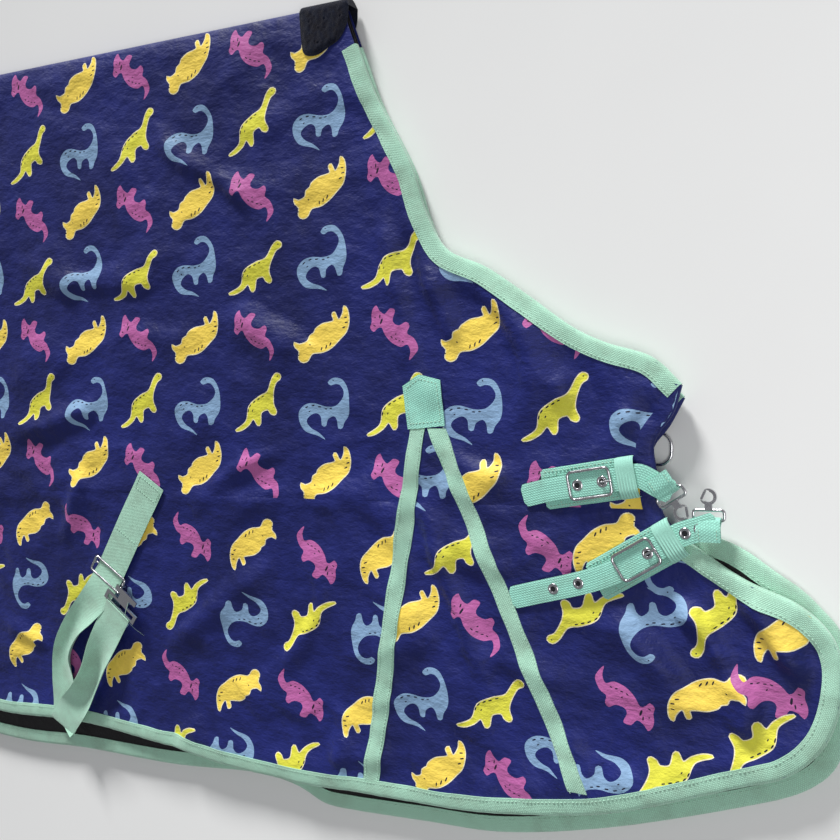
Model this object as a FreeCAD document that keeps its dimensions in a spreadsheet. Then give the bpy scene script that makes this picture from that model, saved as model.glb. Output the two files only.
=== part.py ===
import FreeCAD, Part

import math
import os
import re

# Turnout rug for a horse, lying on the ground folded in half along its back, lining to lining.
# +X points to the horse's neck, +Y to the fold and +Z up. The origin is the withers end of the
# fold, on the ground. The left half lies underneath, the right half on top with its outside up.

Vector = FreeCAD.Vector
UP = Vector(0, 0, 1)

SIZES = [
    # Cloth layers of each half, from the outside in, and the tape round their edges.
    ("ground_clearance", 6.0),
    ("shell_thickness", 1.0),
    ("fill_thickness", 5.0),
    ("lining_thickness", 0.8),
    ("layer_gap", 0.1),
    ("seam_gap", 0.3),
    ("binding_thickness", 1.5),
    ("binding_width", 19.0),
    ("halves_gap", 1.0),
    ("fold_gap", 0.5),
    # Outline of a half: the fold runs along the back, the hem hangs at the belly.
    ("depth", 901.0),
    ("left_extra_depth", 28.0),
    ("back_length", 1378.0),
    ("tail_corner_radius", 150.0),
    # Seams.
    ("panel_seam_depth", 556.0),
    ("panel_seam_slope", 0.033),
    ("trim_width", 20.0),
    ("trim_thickness", 1.2),
    ("fleece_length", 64.0),
    ("fleece_width", 48.0),
    ("fleece_ahead", 8.0),
    ("fleece_thickness", 3.0),
    # Narrow webbing of the chest straps and its hardware.
    ("chest_webbing", 24.0),
    ("webbing_thickness", 1.4),
    ("backing_width", 42.0),
    ("backing_length", 97.0),
    ("backing_thickness", 1.6),
    ("backing_tail", 52.0),
    ("chape_length", 30.0),
    ("chape_tail", 33.0),
    ("chape_thickness", 1.2),
    ("keeper_width", 19.0),
    ("keeper_thickness", 1.2),
    ("keeper_start", 29.0),
    ("wire_radius", 1.6),
    ("post_radius", 1.5),
    ("running_gap", 0.1),
    ("loop_wall", 1.0),
    ("buckle_length", 44.0),
    ("buckle_width", 28.0),
    ("buckle_corner", 5.0),
    ("bar_radius", 1.3),
    ("tongue_radius", 1.1),
    ("tongue_dip", 0.9),
    ("tongue_eye_width", 4.0),
    ("tongue_overhang", 1.5),
    ("eyelet_hole", 2.6),
    ("eyelet_barrel", 3.8),
    ("eyelet_flange", 6.0),
    ("eyelet_rim", 0.5),
    ("eyelet_bevel", 0.4),
    # Snap hooks on the chest straps and the rings they clip to.
    ("snap_eye_length", 10.0),
    ("snap_thickness", 4.0),
    ("snap_eye_room", 2.6),
    ("snap_ring_radius", 8.0),
    ("snap_ring_bore", 5.0),
    ("snap_neck_width", 7.0),
    ("snap_neck_length", 5.0),
    ("gate_width", 2.4),
    ("gate_clearance", 0.4),
    ("mouth_depth", 2.6),
    ("eye_lead", 5.0),
    ("eye_corner", 3.0),
    ("ring_corner", 13.0),
    ("chest_ring_width", 32.0),
    ("chest_ring_depth", 24.0),
    ("chest_tab_length", 46.0),
    # Wide webbing of the belly surcingles and its hardware.
    ("surcingle_webbing", 47.0),
    ("slider_length", 58.0),
    ("slider_width", 22.0),
    ("plate_thickness", 1.8),
    ("plate_bar", 3.2),
    ("plate_width", 60.0),
    ("plate_slot", 6.5),
    ("hook_neck", 18.0),
    ("hook_neck_length", 9.0),
    ("hook_bar", 40.0),
    ("hook_bar_width", 7.0),
    ("socket_length", 30.0),
    ("plate_tab_length", 70.0),
    ("sewn_length", 26.0),
    ("loop_fold", 20.0),
    ("surcingle_spacing", 440.0),
]

# Edge of a half seen from above, from the withers down the neck and round the chest to the hem.
NECK_LINE = [(0, 0), (19, -50), (42, -105), (84, -182), (101, -235), (128, -278), (221, -331),
             (300, -377), (350, -395), (379, -421)]
NECK_TAPE_START = 1
CHEST_LINE = [(379, -421), (362, -455), (352, -492), (357, -538), (370, -563), (394, -580), (440, -608),
              (489, -627), (519, -655), (528, -695), (516, -750), (484, -788), (440, -808), (307, -862),
              (186, -888), (120, -895), (60, -899), (0, -901)]
CHEST_TAPE_START = 5

# The belly gusset is a wedge let into the panels: its apex and where its two seams meet the hem.
GUSSET_APEX = (96.5, -431.0)
GUSSET_REAR_FOOT = (20.0, -901.0)
GUSSET_FRONT_FOOT = (300.0, -901.0)
GUSSET_PATCH = [(93, -411), (118, -417), (123, -467), (77, -472), (71, -424)]
TRIM_TOP = -474.0
TRIM_END = -878.0
FRONT_TRIM_END = -844.0

# Chest straps: buckle centre, direction of the strap, where its loose tip lies and where its eye
# for the snap hook is, each in plan; then the eye's height above the shell and the snap's heading.
UPPER_STRAP = {
    "name": "upper", "buckle": (291.0, -520.5), "angle": 11.0, "tip": (218.0, -538.0),
    "eye": (369.0, -526.0), "eye_height": 2.1, "heading": -55.0, "holes": (-13.5, 13.0),
}
LOWER_STRAP = {
    "name": "lower", "buckle": (339.0, -594.0), "angle": 33.0, "tip": (203.0, -648.0),
    "eye": (408.0, -551.0), "eye_height": 1.6, "heading": 92.0, "holes": (-98.0, -69.0, 13.0, 56.0, 71.0),
}

# Along a chest strap from its buckle: where the run to the loose tip and the run to the eye start.
REAR_BEND = -40.0
FRONT_BEND = 52.0

# Where the snap's gate is hinged and where it closes, in degrees round the hook's ring.
GATE_ROOT = 104.0
GATE_TIP = 26.0

# Hinge points of the rings under the left chest, and of the socket plates under the left belly.
CHEST_RINGS = {"upper": (342.0, -486.0), "lower": (345.0, -604.0)}
SOCKETS = {"front": (-330.0, -640.0), "rear": (-770.0, -640.0)}

# Front surcingle, in plan: sewn end, slider, lowest point of the hanging loop and free end.
SURCINGLE_TOP = (-302.5, -548.5)
SURCINGLE_SLIDER = (-380.0, -678.0)
SURCINGLE_BOTTOM = (-474.0, -892.0)
SURCINGLE_END = (-358.0, -722.0)

doc = FreeCAD.newDocument("TurnoutRug")
sheet = doc.addObject("Spreadsheet::Sheet", "Sizes")
pieces = []


def fill_sheet():
    for row, (alias, amount) in enumerate(SIZES, start=1):
        sheet.set("A%d" % row, alias)
        sheet.set("B%d" % row, str(amount))
        sheet.setAlias("B%d" % row, alias)
    doc.recompute()


def size(alias):
    return float(sheet.get(alias))


def bind(feature, prop, amount):
    """Bind a property to a formula of sheet names, or set it when the amount is a number."""
    if isinstance(amount, str):
        formula = re.sub(r"[a-z][a-z_]+", lambda word: "Sizes." + word.group(0), amount)
        feature.setExpression(prop, formula)
    else:
        setattr(feature, prop, amount)


def keep(feature, label):
    """Name a finished piece; its label becomes the name of its file."""
    feature.Label = label
    pieces.append(feature)
    return feature


def place(x, y, z, turn=0.0):
    return FreeCAD.Placement(Vector(x, y, z), FreeCAD.Rotation(UP, turn))


def moved(feature, placement):
    """Carry a finished feature from its own frame to its place on the rug."""
    feature.Placement = placement.multiply(feature.Placement)
    return feature


# ---------------------------------------------------------------- plain features


def box(length, width, height, corner, turn=0.0):
    feature = doc.addObject("Part::Box", "Block")
    bind(feature, "Length", length)
    bind(feature, "Width", width)
    bind(feature, "Height", height)
    feature.Placement = place(corner[0], corner[1], corner[2], turn)
    return feature


def rod(radius, length, centre, axis):
    """A cylinder centred on a point, along an axis."""
    feature = doc.addObject("Part::Cylinder", "Rod")
    bind(feature, "Radius", radius)
    feature.Height = length
    start = Vector(*centre) - Vector(*axis).normalize() * (length / 2)
    feature.Placement = FreeCAD.Placement(start, FreeCAD.Rotation(UP, Vector(*axis)))
    return feature


def cut(base, tool):
    feature = doc.addObject("Part::Cut", "Cut")
    feature.Base = base
    feature.Tool = tool
    return feature


def fuse(*shapes):
    feature = doc.addObject("Part::MultiFuse", "Joined")
    feature.Shapes = list(shapes)
    return feature


def common(base, tool):
    feature = doc.addObject("Part::Common", "Common")
    feature.Base = base
    feature.Tool = tool
    return feature


def group(*shapes):
    """Equal pieces that share one node stay separate solids."""
    feature = doc.addObject("Part::Compound", "Group")
    feature.Links = list(shapes)
    return feature


def prism(profile, height, level):
    """Extrude a closed flat profile upward from a level."""
    feature = doc.addObject("Part::Extrusion", "Prism")
    feature.Base = profile
    feature.DirMode = "Custom"
    feature.Dir = UP
    feature.Solid = True
    bind(feature, "LengthFwd", height)
    feature.Placement.Base.z = level
    return feature


def offset(profile, amount):
    feature = doc.addObject("Part::Offset2D", "Offset")
    feature.Source = profile
    bind(feature, "Value", amount)
    return feature


def draw(sketch, points):
    """Closed polygon through plain points."""
    for start, end in zip(points, points[1:] + points[:1]):
        sketch.addGeometry(Part.LineSegment(Vector(*start, 0), Vector(*end, 0)), False)
    return sketch


def polygon(points):
    return draw(doc.addObject("Sketcher::SketchObject", "Region"), points)


def new_body():
    return doc.addObject("PartDesign::Body", "Body")


def body_sketch(body, plane_role):
    sketch = body.newObject("Sketcher::SketchObject", "Sketch")
    plane = [item for item in body.Origin.OriginFeatures if item.Role == plane_role][0]
    sketch.AttachmentSupport = (plane, [""])
    sketch.MapMode = "FlatFace"
    return sketch


def pad(body, sketch, height):
    feature = body.newObject("PartDesign::Pad", "Pad")
    feature.Profile = sketch
    bind(feature, "Length", height)
    return feature


def draw_rounded(sketch, low, high, near_radius, far_radius):
    """Rounded rectangle, drawn from the middle of its left side."""
    middle = (low[1] + high[1]) / 2
    corners = [(low[0], high[1], 180), (high[0], high[1], 90), (high[0], low[1], 0), (low[0], low[1], 270)]
    here = Vector(low[0], middle, 0)
    for corner_x, corner_y, start in corners:
        radius = near_radius if corner_x == low[0] else far_radius
        centre = Vector(corner_x + (radius if corner_x == low[0] else -radius),
                        corner_y + (radius if corner_y == low[1] else -radius), 0)
        turns = [math.radians(start - step) for step in (0, 45, 90)]
        arc = [centre + Vector(math.cos(turn), math.sin(turn), 0) * radius for turn in turns]
        sketch.addGeometry(Part.LineSegment(here, arc[0]), False)
        sketch.addGeometry(Part.Arc(*arc), False)
        here = arc[2]
    sketch.addGeometry(Part.LineSegment(here, Vector(low[0], middle, 0)), False)


def wire_loop(low, high, near_radius, far_radius):
    """Round wire bent into a closed, rounded rectangle in the XY plane."""
    body = new_body()
    path = body_sketch(body, "XY_Plane")
    draw_rounded(path, low, high, near_radius, far_radius)
    section = body_sketch(body, "XZ_Plane")
    section.addGeometry(Part.Circle(Vector(low[0], 0, 0), UP, size("wire_radius")), False)
    pipe = body.newObject("PartDesign::AdditivePipe", "Wire")
    pipe.Profile = section
    pipe.Spine = path
    return body


# ---------------------------------------------------------------- the cloth


def edge_curve(points, stretch, shift=0.0, first=0):
    """Smooth edge through the points, shifted outward, from the point counted by first."""
    places = [Vector(x, y * stretch, 0) for x, y in points]
    line = Part.BSplineCurve()
    line.interpolate(places)
    shifted = []
    for spot in places:
        along = line.tangent(line.parameter(spot))[0]
        shifted.append(spot + Vector(-along.y, along.x, 0) * shift)
    edge = Part.BSplineCurve()
    edge.interpolate(shifted)
    if first:
        edge.segment(edge.parameter(shifted[first]), edge.LastParameter)
    return edge


def hem_and_tail(start, stretch, fold_side, shift=0.0):
    """Hem from a start point, rounded lower tail corner and tail edge, shifted outward."""
    radius = size("tail_corner_radius")
    centre = Vector(radius - size("back_length"), radius - size("depth") * stretch, 0)
    grown = radius + shift
    slant = grown * math.sin(math.radians(45))
    foot = centre - Vector(0, grown, 0)
    side = centre - Vector(grown, 0, 0)
    return [Part.LineSegment(start, foot),
            Part.Arc(foot, centre - Vector(slant, slant, 0), side),
            Part.LineSegment(side, Vector(side.x, fold_side, 0))]


def closed_sketch(edges, name):
    sketch = doc.addObject("Sketcher::SketchObject", name)
    for edge in edges:
        sketch.addGeometry(edge, False)
    return sketch


def half_outline(stretch, fold_side):
    """Neck, chest, hem, tail and fold of one half; stretch deepens the half that lies lower."""
    neck = edge_curve([(0, fold_side)] + NECK_LINE[1:], stretch)
    chest = edge_curve(CHEST_LINE, stretch)
    lower = hem_and_tail(chest.EndPoint, stretch, fold_side)
    fold = Part.LineSegment(lower[-1].EndPoint, neck.StartPoint)
    return closed_sketch([neck, chest] + lower + [fold], "Outline")


def neck_strip(stretch, fold_side, outward, inward):
    """Strip along the neck edge, from one shift of the edge to another."""
    points = [(0, fold_side)] + NECK_LINE[1:]
    outer = edge_curve(points, stretch, outward, NECK_TAPE_START)
    inner = edge_curve(points, stretch, inward, NECK_TAPE_START)
    ends = [Part.LineSegment(outer.EndPoint, inner.EndPoint),
            Part.LineSegment(inner.StartPoint, outer.StartPoint)]
    return closed_sketch([outer, inner] + ends, "NeckStrip")


def lower_strip(stretch, fold_side, outward, inward):
    """Strip along the chest, the hem and the tail, from one shift of the edge to another."""
    outer = edge_curve(CHEST_LINE, stretch, outward, CHEST_TAPE_START)
    inner = edge_curve(CHEST_LINE, stretch, inward, CHEST_TAPE_START)
    outer_low = hem_and_tail(outer.EndPoint, stretch, fold_side, outward)
    inner_low = hem_and_tail(inner.EndPoint, stretch, fold_side, inward)
    ends = [Part.LineSegment(outer_low[-1].EndPoint, inner_low[-1].EndPoint),
            Part.LineSegment(inner.StartPoint, outer.StartPoint)]
    return closed_sketch([outer] + outer_low + [inner] + inner_low + ends, "LowerStrip")


def seam_height(x):
    """The long seam between the upper and lower panels drops slightly towards the tail."""
    return -size("panel_seam_depth") + size("panel_seam_slope") * x


def seam_crossing(foot):
    """Where the long seam meets a gusset seam that runs from the apex to a foot."""
    run = (foot[0] - GUSSET_APEX[0]) / (foot[1] - GUSSET_APEX[1])
    slope = size("panel_seam_slope")
    y = (seam_height(0) + slope * (GUSSET_APEX[0] - run * GUSSET_APEX[1])) / (1 - slope * run)
    return (GUSSET_APEX[0] + run * (y - GUSSET_APEX[1]), y)


def beyond(foot):
    """A gusset seam's end, carried well past the hem."""
    reach = 1.3
    return (GUSSET_APEX[0] + (foot[0] - GUSSET_APEX[0]) * reach,
            GUSSET_APEX[1] + (foot[1] - GUSSET_APEX[1]) * reach)


def panel_regions():
    """The four shell panels of a half, each a region that the outline is trimmed to."""
    tail, front, low, high = -1500, 700, -1100, 100
    rear = seam_crossing(GUSSET_REAR_FOOT)
    fore = seam_crossing(GUSSET_FRONT_FOOT)
    rear_foot = beyond(GUSSET_REAR_FOOT)
    front_foot = beyond(GUSSET_FRONT_FOOT)
    return {
        "upper_panel": [(tail, seam_height(tail)), rear, GUSSET_APEX, fore, (front, seam_height(front)),
                        (front, high), (tail, high)],
        "lower_panel": [(tail, seam_height(tail)), (tail, low), (rear_foot[0], low), rear_foot, rear],
        "front_panel": [fore, front_foot, (front, low), (front, seam_height(front))],
        "gusset_insert": [GUSSET_APEX, rear_foot, front_foot],
    }


def stretched(points, stretch):
    return [(x, y * stretch) for x, y in points]


def binding(strip, stretch, fold_side, level, height):
    """Edge tape round the cloth's edge: outside, inside and over the binding's width."""
    gap = size("layer_gap")
    tape = size("binding_thickness") + gap
    wrap = prism(strip(stretch, fold_side, tape, -size("binding_width")), height + 2 * tape, level - tape)
    slot = prism(strip(stretch, fold_side, gap, -size("binding_width") - 4), height + 2 * gap, level - gap)
    return cut(wrap, slot)


def trims(stretch, level):
    """Two flat tapes over the gusset seams, from under the patch to the hem."""
    half = size("trim_width") / 2
    strips = []
    for foot in (GUSSET_REAR_FOOT, GUSSET_FRONT_FOOT):
        run = (foot[0] - GUSSET_APEX[0]) / (foot[1] - GUSSET_APEX[1])
        top = GUSSET_APEX[0] + run * (TRIM_TOP - GUSSET_APEX[1])
        end_y = TRIM_END if foot is GUSSET_REAR_FOOT else FRONT_TRIM_END
        end = GUSSET_APEX[0] + run * (end_y - GUSSET_APEX[1])
        corners = [(top - half, TRIM_TOP), (top + half, TRIM_TOP), (end + half, end_y), (end - half, end_y)]
        strips.append(prism(polygon(stretched(corners, stretch)), "trim_thickness", level))
    return group(*strips)


def half_rug(side, stretch, fold_side, levels):
    """Shell panels, wadding, lining, tapes and patch of one half, at the given levels."""
    outline = half_outline(stretch, fold_side)
    for name, region in panel_regions().items():
        sheet_cloth = prism(outline, "shell_thickness", levels["shell"])
        area = offset(polygon(stretched(region, stretch)), "-seam_gap/2")
        keep(common(sheet_cloth, prism(area, 3.0, levels["shell"] - 1.0)), side + "_" + name)
    keep(prism(outline, "fill_thickness", levels["fill"]), side + "_fill")
    keep(prism(outline, "lining_thickness", levels["lining"]), side + "_lining")
    low = min(levels["shell"], levels["lining"])
    stack = (size("shell_thickness") + size("fill_thickness") + size("lining_thickness")
             + 2 * size("layer_gap"))
    keep(binding(neck_strip, stretch, fold_side, low, stack), side + "_neck_binding")
    keep(binding(lower_strip, stretch, fold_side, low, stack), side + "_edge_binding")
    keep(prism(polygon(stretched(GUSSET_PATCH, stretch)), "trim_thickness", levels["trim"]),
         side + "_gusset_patch")
    keep(trims(stretch, levels["trim"]), side + "_gusset_trims")


# ---------------------------------------------------------------- webbing


def ribbon(start, end, width, thickness, level):
    """Flat webbing between two plan points, its underside at a level."""
    run = Vector(end[0] - start[0], end[1] - start[1], 0)
    turn = math.degrees(math.atan2(run.y, run.x))
    across = Vector(-run.y, run.x, 0).normalize() * (size(width) / 2)
    return box(run.Length, width, thickness, (start[0] - across.x, start[1] - across.y, level), turn)


def eye_radius(bar_hole):
    return bar_hole + size("loop_wall")


def webbing_eye(webbing, centre, across, width, bar_hole):
    """Webbing turned round a bar: a tube joined to the webbing, with a running hole."""
    tube = rod(eye_radius(bar_hole), size(width), centre, across)
    hole = rod(bar_hole, size(width) + 4.0, centre, across)
    return cut(fuse(webbing, tube), hole)


def flat_bar_hole():
    """Hole that a stamped plate's rectangular bar can turn in."""
    return math.hypot(size("plate_bar") / 2, size("plate_thickness") / 2) + size("running_gap")


# ---------------------------------------------------------------- chest straps


def strap_levels(top):
    """Heights of the layers of a chest strap, from the backing up to the buckle's rim."""
    gap = size("running_gap")
    backing = top + gap
    bar = backing + size("backing_thickness") + gap + size("bar_radius") + gap + size("loop_wall")
    billet = bar + size("bar_radius") + gap + size("loop_wall") + gap
    rim = billet + size("webbing_thickness") + gap + size("wire_radius")
    return {"backing": backing, "bar": bar, "billet": billet, "rim": rim}


def buckle_frame(strap, levels):
    """Wire buckle: the rim lies over the webbing, the middle bar under it."""
    half = size("buckle_width") / 2
    reach = size("buckle_length") / 2
    corner = size("buckle_corner")
    rim = wire_loop((-reach, -half), (reach, half), corner, corner)
    drop = levels["bar"] - levels["rim"]
    foot = drop - size("post_radius")
    parts = [rim, rod("bar_radius", 2 * half, (0, 0, drop), (0, 1, 0))]
    for side in (-half, half):
        parts.append(rod("post_radius", -foot, (0, side, foot / 2), (0, 0, 1)))
    frame = moved(fuse(*parts), place(*strap["buckle"], levels["rim"], strap["angle"]))
    keep(frame, strap["name"] + "_buckle_frame")


def buckle_tongue(strap, levels):
    """Tongue: turns on the middle bar, comes up through a hole and rests on the rim."""
    hole_x = strap_hole_under_tongue(strap)
    radius = size("tongue_radius")
    dip = -size("tongue_dip")
    top = levels["rim"] + size("wire_radius") + radius + size("running_gap") - levels["bar"]
    reach = size("buckle_length") / 2 + size("tongue_overhang")
    knees = [(0.0, dip), (hole_x, dip), (hole_x, top), (reach, top)]
    bore_radius = size("bar_radius") + size("running_gap")
    eye_width = size("tongue_eye_width")
    parts = [rod(eye_radius(bore_radius), eye_width, (0, 0, 0), (0, 1, 0))]
    for start, end in zip(knees, knees[1:]):
        middle = ((start[0] + end[0]) / 2, 0, (start[1] + end[1]) / 2)
        run = (end[0] - start[0], 0, end[1] - start[1])
        parts.append(rod("tongue_radius", math.hypot(run[0], run[2]), middle, run))
    for knee in knees[1:]:
        ball = doc.addObject("Part::Sphere", "Knee")
        bind(ball, "Radius", "tongue_radius")
        ball.Placement.Base = Vector(knee[0], 0, knee[1])
        parts.append(ball)
    bore = rod(bore_radius, 2 * eye_width, (0, 0, 0), (0, 1, 0))
    tongue = moved(cut(fuse(*parts), bore), place(*strap["buckle"], levels["bar"], strap["angle"]))
    keep(tongue, strap["name"] + "_tongue")


def strap_hole_under_tongue(strap):
    """Of a strap's holes, the one between the middle bar and the front of the rim."""
    return [hole for hole in strap["holes"] if 0 < hole < size("buckle_length") / 2][0]


def on_strap(strap, along, across=0.0):
    """Plan point at a distance along the strap from its buckle."""
    turn = math.radians(strap["angle"])
    return (strap["buckle"][0] + along * math.cos(turn) - across * math.sin(turn),
            strap["buckle"][1] + along * math.sin(turn) + across * math.cos(turn))


def strap_ends(strap):
    """Where the straight run under the buckle gives way to the loose tip and to the eye end."""
    return on_strap(strap, REAR_BEND), on_strap(strap, FRONT_BEND)


def hole_centre(strap, along):
    """Holes beyond the straight run follow the strap's bends."""
    rear, front = strap_ends(strap)
    if along < REAR_BEND:
        bend, far, past = rear, strap["tip"], REAR_BEND - along
    elif along > FRONT_BEND:
        bend, far, past = front, strap["eye"], along - FRONT_BEND
    else:
        return on_strap(strap, along)
    run = math.dist(bend, far)
    return (bend[0] + (far[0] - bend[0]) * past / run, bend[1] + (far[1] - bend[1]) * past / run)


def billet(strap, levels):
    """Punched webbing: loose tip, run through the buckle, and an end turned round the snap's eye."""
    rear, front = strap_ends(strap)
    level = levels["billet"]
    thickness = size("webbing_thickness")
    eye = strap["eye"]
    heading = math.radians(strap["heading"])
    forward = (math.cos(heading), math.sin(heading))
    lead = size("eye_lead")
    hinge = (eye[0] - lead * forward[0], eye[1] - lead * forward[1])
    eye_level = levels["backing"] + strap["eye_height"]
    runs = [ribbon(strap["tip"], rear, "chest_webbing", "webbing_thickness", level),
            ribbon(rear, front, "chest_webbing", "webbing_thickness", level),
            ribbon(front, hinge, "chest_webbing", "webbing_thickness", level)]
    for bend in (rear, front, hinge):
        disc = doc.addObject("Part::Cylinder", "Bend")
        bind(disc, "Radius", "chest_webbing/2")
        bind(disc, "Height", "webbing_thickness")
        disc.Placement = place(bend[0], bend[1], level)
        runs.append(disc)
    drop = ribbon(hinge, (hinge[0] + thickness * forward[0], hinge[1] + thickness * forward[1]),
                  "chest_webbing", level - eye_level + thickness, eye_level)
    foot = ribbon(hinge, eye, "chest_webbing", "webbing_thickness", eye_level - thickness / 2)
    across = (-forward[1], forward[0], 0)
    webbing = webbing_eye(fuse(*runs, drop, foot), (eye[0], eye[1], eye_level), across, "chest_webbing",
                          size("wire_radius") + size("running_gap"))
    for along in strap["holes"]:
        x, y = hole_centre(strap, along)
        webbing = cut(webbing, rod("eyelet_barrel+running_gap", 12.0, (x, y, level), (0, 0, 1)))
    keep(webbing, strap["name"] + "_billet")


def eyelets(strap, levels):
    """Turned metal eyelets in the strap's holes, each with a rim on top."""
    rings = []
    for along in strap["holes"]:
        x, y = hole_centre(strap, along)
        ring = new_body()
        sketch = body_sketch(ring, "XZ_Plane")
        top = size("webbing_thickness") + 0.05
        rim = top + size("eyelet_rim")
        hole, barrel, flange = size("eyelet_hole"), size("eyelet_barrel"), size("eyelet_flange")
        draw(sketch, [(hole, 0), (barrel, 0), (barrel, top), (flange, top),
                      (flange - size("eyelet_bevel"), rim), (hole, rim)])
        turn = ring.newObject("PartDesign::Revolution", "Turned")
        turn.Profile = sketch
        turn.ReferenceAxis = (sketch, ["V_Axis"])
        turn.Angle = 360
        ring.Placement = place(x, y, levels["billet"])
        rings.append(ring)
    keep(group(*rings), strap["name"] + "_eyelets")


def backing_and_keeper(strap, levels):
    """Wide backing sewn to the shell, the chape that holds the buckle and the ribbed keeper."""
    half = size("backing_width") / 2
    backing = box("backing_length", "backing_width", "backing_thickness", (-size("backing_tail"), -half, 0))
    keep(moved(backing, place(*strap["buckle"], levels["backing"], strap["angle"])),
         strap["name"] + "_backing")
    chape_level = levels["backing"] + size("backing_thickness") + size("layer_gap")
    chape = box("chape_length", "chest_webbing", "chape_thickness",
                (-size("chape_tail"), -size("chest_webbing") / 2, 0))
    keep(moved(chape, place(*strap["buckle"], chape_level, strap["angle"])), strap["name"] + "_chape")
    wall = size("keeper_thickness")
    height = levels["billet"] + size("webbing_thickness") + size("layer_gap") - chape_level
    start = size("keeper_start")
    outer = box("keeper_width", "backing_width-2*keeper_thickness", height + wall, (start, wall - half, 0))
    tunnel = box("2*keeper_width", "backing_width-4*keeper_thickness", height,
                 (start - size("keeper_width") / 2, 2 * wall - half, 0))
    keep(moved(cut(outer, tunnel), place(*strap["buckle"], chape_level, strap["angle"])),
         strap["name"] + "_keeper")


def snap_hook(strap, levels):
    """Cast snap hook with a webbing eye, and the sprung gate across its mouth."""
    eye_half = size("chest_webbing") / 2 + size("snap_eye_room")
    corner = size("eye_corner")
    eye = wire_loop((0, -eye_half), (size("snap_eye_length"), eye_half), corner, corner)
    thick = size("snap_thickness")
    outer, bore = size("snap_ring_radius"), size("snap_ring_bore")
    centre = size("snap_eye_length") + size("snap_neck_length") + outer
    middle = (outer + bore) / 2
    neck = box("snap_neck_length+2", "snap_neck_width", thick,
               (size("snap_eye_length"), -size("snap_neck_width") / 2, -thick / 2))
    ring = cut(rod("snap_ring_radius", thick, (centre, 0, 0), (0, 0, 1)),
               rod("snap_ring_bore", thick + 2, (centre, 0, 0), (0, 0, 1)))
    root, tip = math.radians(GATE_ROOT), math.radians(GATE_TIP)
    pivot = Vector(centre + middle * math.cos(root), middle * math.sin(root), 0)
    catch = Vector(centre + middle * math.cos(tip), middle * math.sin(tip), 0)
    reach = (catch - pivot).Length
    swing = math.degrees(math.atan2(catch.y - pivot.y, catch.x - pivot.x))
    room = size("gate_width") / 2 + size("gate_clearance")
    mouth = box(reach + 2 * room, 2 * outer, thick + 2,
                (-room, -size("gate_width") / 2 - size("mouth_depth"), -thick / 2 - 1))
    mouth.Placement = place(pivot.x, pivot.y, 0, swing).multiply(mouth.Placement)
    heading = place(*strap["eye"], levels["backing"] + strap["eye_height"], strap["heading"])
    keep(moved(fuse(eye, neck, cut(ring, mouth)), heading), strap["name"] + "_snap_hook")
    depth = thick - 1.0
    bar = box(reach, "gate_width", depth, (0, -size("gate_width") / 2, -depth / 2))
    gate = fuse(bar, rod("gate_width/2", depth, (0, 0, 0), (0, 0, 1)),
                rod("gate_width/2", depth, (reach, 0, 0), (0, 0, 1)))
    gate.Placement = place(pivot.x, pivot.y, 0, swing)
    keep(moved(gate, heading), strap["name"] + "_snap_gate")


def chest_strap(strap, top):
    levels = strap_levels(top)
    backing_and_keeper(strap, levels)
    buckle_frame(strap, levels)
    buckle_tongue(strap, levels)
    billet(strap, levels)
    eyelets(strap, levels)
    snap_hook(strap, levels)


def chest_rings():
    """Rings on tabs under the left chest, where the snap hooks clip."""
    level = eye_radius(size("wire_radius") + size("running_gap")) + 0.1
    tabs = []
    for name, (x, y) in CHEST_RINGS.items():
        half = size("chest_ring_width") / 2
        ring = wire_loop((0, -half), (size("chest_ring_depth"), half), size("eye_corner"),
                         size("ring_corner"))
        ring.Placement = place(x, y, level)
        keep(ring, name + "_chest_ring")
        tab = ribbon((x - size("chest_tab_length"), y), (x - 1, y), "chest_webbing", "webbing_thickness",
                     level - size("webbing_thickness") / 2)
        tabs.append(webbing_eye(tab, (x, y, level), (0, 1, 0), "chest_webbing",
                                size("wire_radius") + size("running_gap")))
    keep(group(*tabs), "chest_ring_tabs")


# ---------------------------------------------------------------- surcingles


def stamped_plate(outline_points, slots):
    """Flat plate with slots, centred in its thickness, in the XY plane."""
    body = new_body()
    outline = body_sketch(body, "XY_Plane")
    draw(outline, outline_points)
    solid = pad(body, outline, "plate_thickness")
    solid.SideType = "Symmetric"
    openings = body_sketch(body, "XY_Plane")
    for slot in slots:
        draw(openings, slot)
    pocket = body.newObject("PartDesign::Pocket", "Slots")
    pocket.Profile = openings
    pocket.Type = "ThroughAll"
    pocket.SideType = "Symmetric"
    return body


def webbing_slot():
    bar = size("plate_bar") / 2
    half = size("surcingle_webbing") / 2 + 1.5
    return [(bar, -half), (bar + size("plate_slot"), -half), (bar + size("plate_slot"), half), (bar, half)]


def t_hook_plate():
    """Male fastener: webbing slot, neck and cross bar."""
    back = -size("plate_bar") / 2
    front = size("plate_bar") * 1.5 + size("plate_slot")
    half = size("plate_width") / 2
    neck, neck_end = size("hook_neck") / 2, front + size("hook_neck_length")
    bar, bar_end = size("hook_bar") / 2, neck_end + size("hook_bar_width")
    points = [(back, -half), (front, -half), (front, -neck), (neck_end, -neck), (neck_end, -bar),
              (bar_end, -bar), (bar_end, bar), (neck_end, bar), (neck_end, neck), (front, neck),
              (front, half), (back, half)]
    return stamped_plate(points, [webbing_slot()])


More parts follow.
